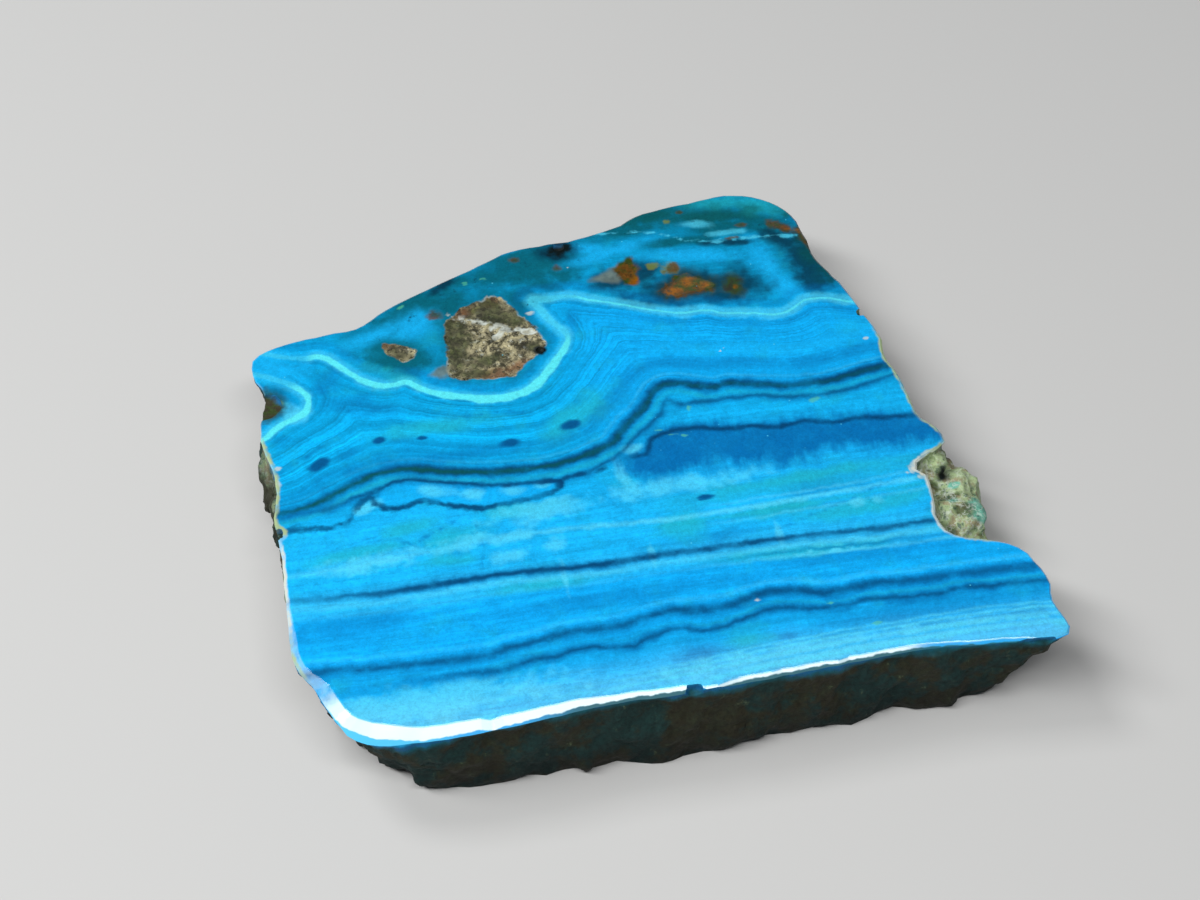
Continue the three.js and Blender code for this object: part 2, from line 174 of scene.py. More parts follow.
# Soft patches of colour: middle x and y, length, width and turn in degrees
PATCHES = {
    "bright": [
        (-18.2, -8.1, 6.6, 1.3, 4), (-12.4, -7.5, 3.0, 1.3, 6), (-9.3, -7.6, 2.4, 1.0, 0),
        (-13.0, -2.7, 2.0, 0.9, -20), (-11.2, -3.4, 1.4, 1.0, 0), (-9.0, -3.4, 1.2, 0.7, 0),
        (-18.7, -3.4, 1.2, 0.7, 0), (-7.0, -5.6, 6.0, 1.8, 5), (0.2, -1.2, 1.4, 0.8, 10),
        (-1.0, -3.0, 0.8, 2.2, 10), (-16.0, -20.2, 14.0, 2.6, 2), (8.0, -20.4, 18.0, 1.5, 2),
        (14.2, -8.6, 0.8, 0.7, 0), (15.7, -8.6, 0.8, 0.7, 0), (-22.6, 6.2, 1.4, 2.0, 0),
        (3.0, -5.0, 10.0, 1.4, 3), (-6.3, -11.4, 0.4, 2.4, 2), (-17.4, -20.0, 8.0, 2.4, 2),
        (-0.25, -10.8, 0.4, 1.8, 0), (8.4, -10.4, 0.5, 2.6, 0), (-9.2, -9.2, 2.4, 1.2, 0),
        (-6.4, -8.8, 1.6, 1.2, 0),
    ],
    "fold_light": [
        (13.3, 15.2, 1.4, 5.6, 12), (14.2, 12.6, 1.6, 3.4, 28), (2.0, 18.4, 6.0, 1.2, 14),
        (8.0, 17.0, 7.0, 1.2, -8), (-15.8, 12.9, 4.4, 1.2, 20), (-13.3, 13.3, 3.4, 2.4, 25),
        (-23.6, 10.8, 4.4, 2.4, -30), (-6.2, 13.6, 0.8, 2.6, 12), (-3.3, 12.0, 1.3, 5.0, 27),
        (0.6, 19.0, 4.0, 1.2, -20), (-5.6, 19.9, 2.8, 0.6, 12), (12.9, 16.0, 1.6, 3.0, 0),
    ],
    "green": [
        (-13.2, -7.0, 3.8, 1.8, 10), (-13.3, -8.9, 3.2, 1.0, 0), (-16.0, -5.6, 3.2, 1.2, 10),
        (2.4, -8.8, 3.4, 2.0, 0), (9.0, -8.3, 5.0, 1.4, 4), (15.0, -9.0, 8.0, 1.3, 5),
        (-19.5, -7.2, 7.0, 1.0, 6), (-3.0, 2.6, 6.5, 2.4, 35), (4.5, -18.7, 2.6, 1.0, 0),
        (-13.0, 3.2, 7.0, 1.4, 0), (-8.0, -12.0, 6.0, 0.9, 0), (9.5, -12.1, 10.0, 0.9, -2),
        (14.0, 21.5, 4.0, 1.8, -25), (11.0, 22.2, 4.6, 1.2, -4), (-9.0, -5.4, 4.0, 1.4, 0),
        (12.0, -5.6, 10.0, 0.9, 4), (-15.8, 8.9, 5.0, 1.0, -30),
    ],
    "eyes": [
        (-21.2, 1.1, 1.6, 0.8, 30), (-16.9, 2.6, 0.9, 0.6, 10), (-13.9, 2.3, 0.8, 0.4, 0),
        (-8.05, 0.8, 1.6, 0.7, 0), (-3.6, 1.7, 1.4, 0.8, 10), (4.3, -6.4, 1.2, 0.5, 0),
    ],
    "blush": [
        (-18.0, -3.1, 1.2, 0.8, 0), (-14.0, -2.6, 1.6, 0.9, -20), (-11.3, -3.4, 1.4, 1.1, 0),
        (-8.4, -3.6, 1.6, 0.8, 0), (-6.4, -3.4, 1.2, 0.6, 0), (0.2, -1.2, 1.2, 0.8, 10),
        (8.9, 20.3, 2.2, 0.8, -10), (11.2, 19.0, 2.4, 0.6, 0),
    ],
    "shade": [
        (-19.2, 1.7, 1.8, 0.8, 20), (-15.3, 2.5, 1.4, 0.6, 0), (-19.3, -2.7, 3.0, 1.0, 12),
        (1.2, -19.3, 2.4, 1.5, 0), (7.2, -18.9, 1.1, 0.6, 0), (12.0, -6.6, 4.0, 1.4, 5),
        (17.5, -18.2, 15.0, 1.6, 0), (-14.0, 0.2, 12.0, 0.9, 2), (-2.0, 11.6, 1.0, 5.0, -20),
        (-20.5, -13.2, 8.0, 1.8, 3), (-3.0, -13.8, 16.0, 1.4, 2), (14.0, -13.0, 12.0, 1.2, 0),
        (-18.0, 6.0, 6.0, 1.6, -20), (-19.8, 9.0, 1.6, 3.4, -30), (4.0, -9.8, 8.0, 0.9, 2),
    ],
    "teal": [
        (-12.5, 15.2, 10.0, 3.2, 30), (-4.0, 18.2, 10.0, 4.4, 16), (4.6, 21.5, 8.0, 1.7, 14),
        (12.0, 19.5, 8.0, 1.4, -6), (-14.7, 10.3, 4.6, 4.0, -30), (-10.5, 15.0, 5.0, 2.4, 40),
        (-23.9, 7.2, 2.2, 3.0, 0), (7.0, 18.7, 6.0, 0.9, 0), (-5.2, 14.6, 3.4, 3.0, -50),
        (-1.9, 17.2, 3.2, 2.8, 0), (-3.2, 15.8, 2.4, 1.4, -20), (14.2, 19.6, 5.0, 2.0, -32),
        (4.0, 20.4, 4.0, 1.2, 10), (10.4, 20.9, 7.0, 1.3, -4),
    ],
    "gloom": [
        (16.6, 15.2, 3.6, 7.4, 10), (7.0, 13.8, 9.6, 3.4, -2), (10.6, 13.4, 3.8, 3.6, 0),
        (2.6, 15.6, 5.6, 2.2, 10), (15.0, 17.4, 3.4, 1.6, -40), (-1.8, 19.3, 3.2, 2.0, 0),
        (11.2, 17.9, 3.4, 0.7, -6), (9.2, 12.4, 4.6, 1.6, -6), (16.4, 13.4, 2.6, 4.0, 10),
        (-10.9, 16.8, 2.6, 0.9, 36),
    ],
    "moss_tint": [(17.6, 15.6, 2.6, 6.0, 12), (9.0, 21.3, 12.0, 2.0, -4)],
    "embers": [
        (3.4, 15.0, 0.9, 0.8, 0), (6.0, 13.6, 1.6, 0.7, 10), (7.1, 14.3, 1.1, 0.8, 20),
        (8.3, 13.8, 1.1, 0.7, -20), (10.5, 13.2, 0.5, 0.5, 0), (15.9, 18.6, 1.2, 0.4, -35),
    ],
    # Small holes, where near-black is painted as the shade in them
    "black": [(-1.6, 19.4, 1.8, 1.4, 0), (-4.6, 9.3, 0.8, 0.7, 0), (21.0, -6.1, 0.9, 0.7, 0)],
    "brown_spots": [
        (-11.6, 14.1, 0.9, 0.8, 0), (-5.1, 18.8, 0.6, 0.5, 0), (-2.05, 17.4, 0.6, 0.5, 0),
        (15.5, 18.8, 2.4, 0.8, -35), (12.4, 19.6, 0.8, 0.4, 0), (11.4, 18.4, 0.8, 0.35, 0),
        (8.05, 21.8, 0.5, 0.35, 0), (6.4, 15.9, 1.1, 0.8, 40), (-1.0, 20.9, 1.6, 0.5, 10),
        (2.4, 22.0, 2.0, 0.5, 12), (17.0, 16.6, 0.6, 1.8, 25),
    ],
    "gold_specks": [
        (4.9, 16.4, 0.9, 0.5, 0), (6.2, 15.9, 1.2, 1.0, 0),
        (-24.0, 6.9, 1.4, 0.7, 30), (6.9, 21.0, 0.5, 0.5, 0), (16.0, 18.5, 0.6, 0.3, -35),
    ],
    "lime_specks": [
        (13.7, 1.2, 1.0, 0.35, 10), (4.8, 1.8, 0.3, 0.5, 0), (2.3, 0.2, 0.5, 0.2, 0),
        (3.2, -0.4, 0.6, 0.2, 0), (4.0, -0.6, 0.4, 0.2, 0), (10.4, -16.7, 0.5, 0.2, 0),
        (13.0, -18.8, 0.9, 0.25, 10), (-15.4, 15.0, 0.4, 0.3, 0), (-13.9, 15.3, 0.5, 0.25, 30),
        (-9.0, 16.9, 0.4, 0.25, 0), (-7.6, 17.2, 0.5, 0.2, 0),
    ],
    "white_specks": [
        (8.1, 7.0, 0.7, 0.15, 40), (18.6, 6.4, 0.4, 0.3, 0), (-1.2, 17.35, 0.25, 0.25, 0),
        (-4.7, 13.1, 0.6, 0.4, 0), (5.8, -15.6, 0.4, 0.3, 0), (-24.2, -0.2, 0.5, 1.2, 10),
        (-24.0, 1.2, 0.5, 0.4, 0),
    ],
    "ledge_lime": [
        (22.0, -5.9, 2.4, 1.0, -30), (22.3, -7.6, 2.0, 1.0, -40), (20.8, -4.9, 1.4, 0.9, -30),
        (22.0, -8.8, 0.5, 1.8, 30),
    ],
    "ledge_jade": [(22.9, -9.4, 1.5, 2.8, 0), (21.6, -7.0, 0.8, 0.6, 0), (21.0, -8.6, 1.0, 0.6, 20)],
    "ledge_dark": [
        (21.0, -8.1, 1.8, 0.7, 10), (21.6, -9.4, 1.4, 0.9, 0), (22.4, -11.7, 1.0, 1.8, 0),
        (20.2, -6.8, 0.8, 1.4, 0), (20.3, -10.9, 0.8, 1.2, 30),
    ],
    "rock_dark": [
        (-10.5, 10.9, 2.4, 6.2, 6), (-7.4, 13.5, 4.4, 2.4, -20), (-8.4, 8.9, 2.6, 1.0, 20),
        (-5.8, 12.6, 2.0, 1.0, -50), (-9.6, 7.8, 2.6, 1.0, 0), (-5.0, 9.8, 1.2, 1.0, 0),
        (-14.7, 10.9, 2.4, 1.4, -35),
    ],
    "rock_red": [
        (-8.2, 7.5, 2.4, 1.1, 0), (-6.3, 8.1, 2.0, 1.0, 35), (-9.4, 14.0, 2.0, 1.0, 20),
        (-15.3, 11.6, 1.6, 1.1, -30), (-7.4, 14.8, 1.4, 1.2, 0),
    ],
}

# Narrow seams: half width, then the line they follow
SEAMS = {
    "white_seams": [
        (0.08, [(-10.8, 13.9), (-9.6, 13.3), (-8.6, 12.9)]),
        (0.10, [(-8.6, 12.9), (-7.4, 12.4), (-6.6, 12.0)]),
        (0.16, [(-6.8, 11.9), (-5.9, 11.6), (-5.4, 11.4)]),
        (0.28, [(-5.4, 11.4), (-5.0, 11.2), (-4.6, 11.1)]),
        (0.12, [(-7.6, 11.2), (-7.0, 11.5), (-6.9, 12.1), (-7.5, 12.3), (-7.8, 11.8)]),
        (0.07, [(18.3, -6.6), (18.8, -5.9), (19.2, -5.5), (20.0, -5.0)]),
        (0.06, [(18.4, -6.4), (18.9, -7.2), (19.6, -7.2), (20.0, -6.9)]),
    ],
    "dark_seams": [
        (0.22, [(-25.0, -4.3), (-23.0, -4.5), (-21.0, -4.7), (-19.9, -4.5), (-19.3, -3.9), (-18.9, -3.1)]),
        (0.16, [(-18.9, -3.1), (-18.2, -2.4), (-17.3, -1.8)]),
        (0.14, [(-5.4, -3.6), (-4.9, -3.0), (-4.2, -2.9), (-3.0, -3.0), (-2.0, -2.6)]),
        (0.15, [(-17.2, -1.7), (-17.9, -2.4), (-17.9, -3.0), (-17.2, -3.7)]),
    ],
    "hair_cracks": [
        (0.05, [(-16.3, -6.0), (-16.1, -9.0)]),
        (0.05, [(-18.0, -5.2), (-15.5, -7.4)]),
        (0.05, [(-15.6, -7.0), (-12.6, -5.4)]),
        (0.05, [(-11.4, -6.0), (-11.2, -8.0), (-11.5, -10.0)]),
        (0.05, [(8.5, -10.0), (13.0, -8.6), (17.0, -7.0)]),
        (0.05, [(-19.5, 5.8), (-16.5, 5.4)]),
        (0.05, [(-24.5, 0.4), (-21.5, 2.2), (-19.5, 3.8)]),
        (0.05, [(-12.5, 3.6), (-9.0, 3.9), (-6.0, 3.4)]),
    ],
    "pale_seams": [
        (0.12, [(8.0, 18.6), (9.8, 18.2), (12.0, 18.3), (15.0, 17.95), (16.4, 17.7)]),
        (0.05, [(-1.2, 20.7), (1.7, 20.5), (4.0, 20.3), (6.2, 19.8), (8.0, 18.6)]),
        (0.14, [(15.0, -19.9), (20.0, -19.9), (24.0, -20.1)]),
        (0.14, [(9.0, -12.4), (14.0, -12.5)]),
    ],
}

# Stripes of the banding, from the back to the front: the line they follow, how far over it, half width,
# softness, colour, and their strength at places along X
STRIPES = [
    ("turquoise", -0.95, 0.25, 0.45, "deep", (-1.0, 0.0), (5.0, 0.35)),
    ("dark", 3.5, 0.4, 0.6, "sky", (0.0, 0.0), (5.0, 0.5)),
    ("dark", 2.1, 0.35, 0.6, "deep", (-24.0, 0.1), (4.0, 0.5)),
    ("dark", 1.2, 0.35, 0.5, "deep", (-20.0, 0.45), (-6.0, 0.15)),
    ("dark", 0.85, 0.06, 0.2, "ice", (-24.0, 0.05), (6.0, 0.2)),
    ("dark", -0.85, 0.16, 0.3, "green", (-20.0, 0.6), (4.0, 0.35)),
    ("dark", 0.0, 0.5, 0.45, "deep", (-24.0, 0.6), (22.0, 0.75)),
    ("dark", 0.0, 0.27, 0.3, "ink", (-24.0, 0.55), (-12.0, 0.85), (6.0, 0.95)),
    ("dark", -0.05, 0.12, 0.22, "moss", (-20.0, 0.9), (14.0, 0.5)),
    ("thin", -0.05, 0.3, 0.34, "deep", (-23.0, 0.6), (-16.0, 0.55)),
    ("thin", 0.0, 0.1, 0.22, "ink", (-23.0, 0.3), (-17.0, 0.8), (4.0, 0.65)),
    ("deep", -0.1, 0.32, 0.45, "deep", (-1.2, 0.0), (0.6, 0.75)),
    ("deep", 0.0, 0.14, 0.24, "ink", (-1.2, 0.0), (0.6, 0.95)),
    ("middle_light", 1.4, 0.5, 0.5, "green", (-4.0, 0.0), (6.0, 0.4)),
    ("middle_light", 0.6, 0.06, 0.22, "ice", (2.0, 0.0), (9.0, 0.4)),
    ("middle_light", 0.0, 0.1, 0.28, "ice", (-10.0, 0.5), (0.0, 0.75)),
    ("middle_light", -0.5, 0.12, 0.25, "green", (-4.0, 0.1), (6.0, 0.5)),
    ("middle_light", -1.0, 0.04, 0.22, "ice", (2.0, 0.0), (9.0, 0.4)),
    ("lower", -0.7, 0.16, 0.3, "ice", (-24.0, 0.3), (20.0, 0.5)),
    ("lower", -1.15, 0.06, 0.2, "deep", (3.0, 0.0), (9.0, 0.5)),
    ("lower", -1.55, 0.06, 0.24, "ice", (1.0, 0.1), (9.0, 0.5)),
    ("lower", -0.02, 0.3, 0.38, "deep", (-24.0, 0.35), (-14.0, 0.75), (2.0, 0.75), (10.0, 0.45)),
    ("lower", 0.0, 0.14, 0.22, "ink", (-24.0, 0.3), (-15.0, 0.9), (2.0, 0.95), (13.0, 0.75)),
    ("twin", 0.9, 0.1, 0.3, "ice", (-24.0, 0.12), (22.0, 0.2)),
    ("twin", 0.0, 0.42, 0.4, "deep", (-24.0, 0.5), (22.0, 0.8)),
    ("twin", 0.03, 0.17, 0.32, "ink", (-24.0, 0.7), (10.0, 0.8), (20.0, 0.55)),
    ("pair", 0.45, 0.05, 0.25, "green", (-6.0, 0.1), (6.0, 0.4)),
    ("pair", 0.0, 0.34, 0.34, "deep", (-22.0, 0.2), (-10.0, 0.65)),
    ("pair", 0.0, 0.1, 0.24, "ink", (-20.0, 0.15), (-8.0, 0.75)),
    ("front_light", 0.35, 0.03, 0.2, "ice", (-6.0, 0.1), (4.0, 0.6)),
    ("front_light", -0.05, 0.05, 0.2, "ice", (-8.0, 0.2), (4.0, 0.75)),
    ("front_light", -0.55, 0.05, 0.18, "ice", (-12.0, 0.2), (0.0, 0.7)),
    ("front_light", -0.9, 0.04, 0.2, "sky", (0.0, 0.0), (8.0, 0.6)),
    ("front_light", -1.3, 0.12, 0.25, "ice", (-16.0, 0.3), (-2.0, 0.7)),
]

# Soft patches over the layers, in the order that they are laid: softness, how far the fine and the broad
# unevenness moves their edge, colour and strength
GROUND_PATCHES = {
    "teal": (0.6, 0.8, 1.6, "teal", 0.9),
    "shade": (0.7, 0.8, 1.6, "deep", 0.42),
    "green": (0.7, 0.8, 1.6, "green", 0.65),
    "bright": (0.55, 1.2, 2.2, "ice", 0.6),
    "fold_light": (0.8, 0.8, 1.6, "sky", 0.8),
    "gloom": (0.6, 0.8, 1.6, "gloom", 0.92),
    "moss_tint": (0.6, 0.8, 1.6, "moss", 0.6),
}
LEDGE_PATCHES = {
    "ledge_lime": (0.5, 2.4, 1.6, "sage", 0.8),
    "ledge_jade": (0.5, 2.4, 1.6, "jade", 0.85),
    "ledge_dark": (0.5, 2.4, 1.6, "olive", 0.75),
}

# Base colour through the layers: place in the layers, then the shares of the colours that are mixed there
LAYER_COLOURS = [
    (0.0, {"teal": 0.55, "laminae": 0.45}),
    (0.45, {"teal": 0.4, "laminae": 0.6}),
    (0.8, {"teal": 0.2, "laminae": 0.8}),
    (0.96, {"laminae": 1.0}),
    (1.0, {"laminae": 0.9}),
    (1.1, {"laminae": 0.86}),
    (1.35, {"laminae": 1.0}),
    (1.6, {"laminae": 1.02}),
    (2.0, {"laminae": 0.9}),
    (2.2, {"laminae": 0.5, "sky": 0.5}),
    (2.45, {"sky": 1.0}),
    (2.9, {"sky": 1.0}),
    (3.03, {"sky": 0.8, "ice": 0.2}),
    (3.2, {"sky": 0.88, "ice": 0.12}),
    (3.34, {"azure": 1.0}),
    (3.96, {"azure": 1.0}),
    (4.1, {"azure": 0.86}),
    (4.4, {"azure": 0.5, "sky": 0.45}),
    (4.75, {"sky": 0.85, "ice": 0.15}),
    (5.0, {"sky": 0.6, "ice": 0.4}),
]

# Zones of the stone: what each limit is measured on, where it begins and where the zone is in full
ON_BEVEL = ("z", TOP - 0.02, TOP - 0.08)
ALONG_FRONT = ("front", 5.0, 2.5)
ZONES = {
    "right_half": [("x", -5.0, 1.0)],
    "pocket_front": [("y", -2.7, -3.3)],
    "left_end_fold": [("y", 8.0, 9.4), ("x", -20.2, -21.6)],
    "fold_around_rock": [("x", -14.5, -11.0), ("x", -2.0, -4.0)],
    "fold_beside_rock": [("y", 9.4, 11.0), ("x", 0.0, -2.0), ("x", -8.0, -5.0)],
    "bevel": [ON_BEVEL],
    # Where the bevel's painted highlight lies, and where along the front it is nearly full
    "glinting_bevel": [ON_BEVEL, ("y", 12.0, 6.0)],
    "white_front": [ALONG_FRONT, ("x", 17.0, 13.0)],
    "front_strip": [ALONG_FRONT],
    "right_front_bevel": [ON_BEVEL, ("x", 14.0, 16.5), ALONG_FRONT],
    "left_front_edge": [("y", -20.0, -17.5), ("x", -18.0, -20.0)],
    "left_front_bevel": [ON_BEVEL, ("y", -20.0, -17.5), ("x", -18.0, -20.0)],
    "right_rim": [("x", 16.5, 18.0), ("y", -13.8, -13.2), ("y", 7.8, 6.6)],
    "left_rim": [("x", -22.4, -23.2), ("y", 4.5, 3.5), ("y", -17.5, -15.5)],
    "undercut_corner": [("x", -13.0, -19.0), ("y", -14.0, -18.0)],
    "ledge": [("x", 18.6, 19.6), ("y", -3.6, -5.0), ("y", -13.4, -12.4), ("z", 0.8, 2.2)],
    "ledge_front": [("y", -10.4, -12.2)],
    "left_knolls": [("x", -22.8, -23.8), ("z", TOP - 2.6, TOP - 0.4), ("y", -17.0, -14.0), ("y", 5.4, 4.4)],
    "right_lip": [("z", TOP - 0.6, TOP - 0.2), ("x", 15.0, 19.0), ("y", -5.0, -4.0)],
}
LEDGE_MIDDLE = -9.0  # place of the ledge's middle along Y
# How far down the bevel its painted white highlight reaches, at places along X
WHITE_DROPS = ((-20.0, 0.52), (-15.0, 0.42), (-9.0, 0.32), (-2.0, 0.18), (8.0, 0.14))
SAWN_ROUGHNESS = 0.62
WALL_ROUGHNESS = (0.6, 0.9)
POLISHED_ROUGHNESS = 0.14
DULL_ROUGHNESS = 0.55  # added where the polish didn't take

# What tells the faces of the solid apart
FLATNESS = 0.01  # how far from a plane a point still counts as lying in it
LEVEL_ENOUGH = 0.7  # upward part that the normal of the polished face and its bevel has at least
BEVEL_DEPTH = 1.0  # depth under the face that the bevel stays above

# Fine relief of the broken walls: size of each kind of form, and its share of the relief
LUMP_SIZE, LUMP_SHARE = 1.7, 0.8
CHIP_SIZE, CHIP_SHARE = 1.3, 1.1
GRAIN_SIZE, GRAIN_SHARE = 0.28, 0.25
CHIP_TOP = 0.5  # level at which the middle of a chip is cut off flat
SMOOTHING_ROUNDS = 3
FADE_UNDER_FACE = (0.1, 1.2)  # depths under the face between which the relief sets in
FADE_OVER_FOOT = (0.0, 0.5)  # heights over the underside between which it sets in
LOWEST_WALL = 0.02  # keeps the wall's points off the plane of the underside

# Pits of the rock that stands in the polished face: their sizes, and shares of their depth
PIT_SIZE, PIT_GRAIN = 0.55, 0.25
PIT_FLOOR, PIT_GRAIN_SHARE = 0.35, 0.5
PIT_EDGE = 0.4  # distance inside the rock's outline at which the pits reach their full depth
ON_FACE = 0.005  # depth down to which a point counts as lying in the polished face


def colour(name, description, default):
    return FloatVectorProperty(
        name=name, description=description, default=default, subtype="COLOR", size=3, min=0.0, max=1.0
    )


def length(name, description, default):
    return FloatProperty(
        name=name, description=description, default=default, unit="LENGTH", min=0.0, precision=5
    )


def angle(name, description, degrees):
    return FloatProperty(name=name, description=description, default=radians(degrees), unit="ROTATION")


class SlabShape(bpy.types.PropertyGroup):
    """Sizes of the fine shape that is worked into the slab"""

    cell: length("Face cell", "Spacing of the points that carry the bands on the polished face", 0.26 * MM)
    wall_cuts: IntProperty(
        name="Wall cuts", description="Cuts along each edge of the broken walls", default=2, min=1
    )
    wall_relief: length("Wall relief", "How far the broken walls are roughened", 0.3 * MM)
    pitting: length("Rock pitting", "Depth of the pits in the rock that the polish left dull", 0.12 * MM)


class BandColours(bpy.types.PropertyGroup):
    """Colours of the banded blue stone"""

    turquoise: colour("Turquoise line", "Bright line that runs around the pocket of rock", (0.10, 0.80, 0.90))
    laminae: colour("Laminated blue", "Blue of the layers between the two folded lines", (0.002, 0.41, 0.82))
    sky: colour("Light blue", "Light blue of the broad middle layer", (0.008, 0.46, 0.92))
    azure: colour("Azure", "Blue of the layer above the twin lines", (0.004, 0.42, 0.93))
    ice: colour("Pale cyan", "Pale patches and light lines", (0.09, 0.68, 0.94))
    deep: colour("Deep blue", "Pools of deep blue", (0.0005, 0.16, 0.45))
    ink: colour("Dark lines", "Dark blue of the thin bands", (0.0003, 0.058, 0.17))
    moss: colour("Line core", "Dark green teal in the middle of the widest line", (0.002, 0.085, 0.08))
    teal: colour("Dark teal", "Teal around the rock and along the back", (0.0005, 0.11, 0.15))
    gloom: colour("Darkest teal", "Nearly black teal beside the rust", (0.0005, 0.035, 0.07))
    green: colour("Green tint", "Greenish patches in the light layer", (0.015, 0.46, 0.56))
    # Mostly a painted highlight: the white that the bevel mirrors, over the pale of its ground edge
    frost_and_glint: colour("Bevel", "Pale ground edge of the face", (0.72, 0.92, 0.97))


class RockColours(bpy.types.PropertyGroup):
    """Colours of the rock in and around the blue stone"""

    brown: colour("Brown rock", "Weathered rock in the pocket", (0.36, 0.325, 0.19))
    umber: colour("Dark rock", "Darker parts of the rock", (0.034, 0.032, 0.013))
    red: colour("Red rock", "Reddish stains in the rock", (0.15, 0.06, 0.02))
    rust: colour("Rust", "Iron stains", (0.27, 0.088, 0.002))
    grey: colour("Grey wedge", "Grey quartz in the small wedge", (0.14, 0.19, 0.17))
    chalk: colour("White seams", "White cracks and specks", (0.62, 0.68, 0.62))
    gold: colour("Yellow specks", "Yellow green specks", (0.22, 0.26, 0.015))
    lime: colour("Lime specks", "Pale green specks in the blue", (0.10, 0.56, 0.32))
    sage: colour("Pale crust", "Pale green and cream crust of the ledge and the edges", (0.40, 0.52, 0.28))
    jade: colour("Jade", "Teal crust on the ledge", (0.14, 0.50, 0.40))
    olive: colour("Olive", "Olive green rock", (0.034, 0.062, 0.010))
    # Kept darker than the rock's own colour, as painted shade for the walls, which stand in shade
    wall: colour("Wall rock", "Dark olive rock of the broken walls", (0.022, 0.028, 0.013))
    wall_teal: colour("Wall teal", "Teal stain on the broken walls", (0.003, 0.038, 0.040))
    # Near-black painted in the small holes, as the shade in them
    hole: colour("Holes", "Bottom of the small dark holes", (0.003, 0.008, 0.008))


class StageSettings(bpy.types.PropertyGroup):
    """Floor, camera and light around the stone"""

    floor: colour("Floor", "Colour of the plain floor", (0.60, 0.60, 0.59))
    surroundings: colour("Surroundings", "Colour of the faint light from all sides", (0.85, 0.9, 1.0))
    azimuth: angle("Camera azimuth", "Turn of the camera", -10)
    elevation: angle("Camera elevation", "Camera height", 48)
    distance: length("Camera distance", "From the camera to what it looks at", 165 * MM)
    lens: FloatProperty(name="Lens", description="Focal length", default=72.0, unit="CAMERA")


class SpecimenSettings(bpy.types.PropertyGroup):
    """All settings of the specimen"""

    shape: PointerProperty(type=SlabShape)
    bands: PointerProperty(type=BandColours)
    rock: PointerProperty(type=RockColours)
    stage: PointerProperty(type=StageSettings)


def ease(value, start, stop):
    """From 0 at start to 1 at stop, with soft ends"""
    share = min(max((value - start) / (stop - start), 0.0), 1.0)
    return share * share * (3.0 - 2.0 * share)


# Distances on the polished face, in millimetres


def rounded(points, closed=False):
    """The traced line with its corners cut, so that it bends"""
    starts = np.array(points)
    ends = np.roll(starts, -1, axis=0)
    if not closed:
        starts, ends = starts[:-1], ends[:-1]
    bends = np.stack([0.75 * starts + 0.25 * ends, 0.25 * starts + 0.75 * ends], axis=1).reshape(-1, 2)
    return bends if closed else np.vstack([starts[:1], bends, ends[-1:]])


def distance_to(places, line, closed=False):
    """Shortest distance from each place to the line"""
    corners = np.vstack([line, line[:1]]) if closed else line
    nearest = np.full(len(places), np.inf)
    for start, end in zip(corners[:-1], corners[1:]):
        along = end - start
        offsets = places - start
        share = np.clip(offsets @ along / (along @ along), 0.0, 1.0)
        offsets -= share[:, None] * along
        nearest = np.minimum(nearest, (offsets * offsets).sum(axis=1))
    return np.sqrt(nearest)


def lies_inside(places, loop):
    """Whether each place lies inside a closed loop"""
    inside = np.zeros(len(places), bool)
    x, y = places.T
    for (x0, y0), (x1, y1) in zip(loop, np.roll(loop, -1, axis=0)):
        if y0 != y1:
            inside ^= ((y0 > y) != (y1 > y)) & (x < x0 + (y - y0) * (x1 - x0) / (y1 - y0))
    return inside


def height_over(places, points):
    """Distance from a line of the banding, negative in front of it"""
    line = rounded(points)
    behind = np.vstack([line, FAR_BEHIND])
    return np.where(lies_inside(places, behind), 1.0, -1.0) * distance_to(places, line)


def depth_in(places, outlines):
    """Distance to the nearest outline, negative inside it"""
    nearest = np.full(len(places), np.inf)
    for points in outlines:
        loop = rounded(points, closed=True)
        side = np.where(lies_inside(places, loop), -1.0, 1.0)
        nearest = np.minimum(nearest, side * distance_to(places, loop, closed=True))
    return nearest


def patch_strength(places, patches):
    """1 in the middle of a patch, 0 on its edge and less outside it"""
    best = np.full(len(places), FAR_FROM_PATCHES)
    for x, y, long_side, short_side, turn in patches:
        away = places - (x, y)
        c, s = cos(radians(turn)), sin(radians(turn))
        along = (away[:, 0] * c + away[:, 1] * s) / (long_side / 2)
        across = (away[:, 1] * c - away[:, 0] * s) / (short_side / 2)
        best = np.maximum(best, 1.0 - np.hypot(along, across))
    return best


def seam_distance(places, seams):
    """Distance to the edge of the nearest seam, negative inside it"""
    nearest = np.full(len(places), np.inf)
    for half_width, points in seams:
        nearest = np.minimum(nearest, distance_to(places, rounded(points)) - half_width)
    return nearest


def layer_height(heights):
    """Place in the layers: 0 far behind the turquoise line, 1 on it, then one more at each guide line"""
    layer = 1.0 - np.clip(heights[LAYER_GUIDES[0]] / BACK_LAYER, 0.0, 1.0)
    for index, (upper, lower) in enumerate(zip(LAYER_GUIDES, LAYER_GUIDES[1:]), start=1):
        above, below = np.abs(heights[upper]), np.abs(heights[lower])
        layer = np.where(heights[upper] < 0.0, index + above / (above + below), layer)
    return layer


def trace_fields(places):
    """Every distance that the finishes read, by name"""
    fields = {name: height_over(places, points) for name, points in LINES.items()}
    fields["layer"] = layer_height(fields)
    fields.update({name: depth_in(places, outlines) for name, outlines in LOOPS.items()})
    fields.update({name: patch_strength(places, patches) for name, patches in PATCHES.items()})
    fields.update({name: seam_distance(places, seams) for name, seams in SEAMS.items()})
    return fields


# Shape of the slab


def kind_of_face(face):
    """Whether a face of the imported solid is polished, broken or sawn"""
    heights = [vert.co.z for vert in face.verts]
    reaches_top = max(heights) > TOP - FLATNESS
    if reaches_top and face.normal.z > LEVEL_ENOUGH and min(heights) > TOP - BEVEL_DEPTH:
        return POLISHED
    return SAWN if max(heights) < FLATNESS else BROKEN


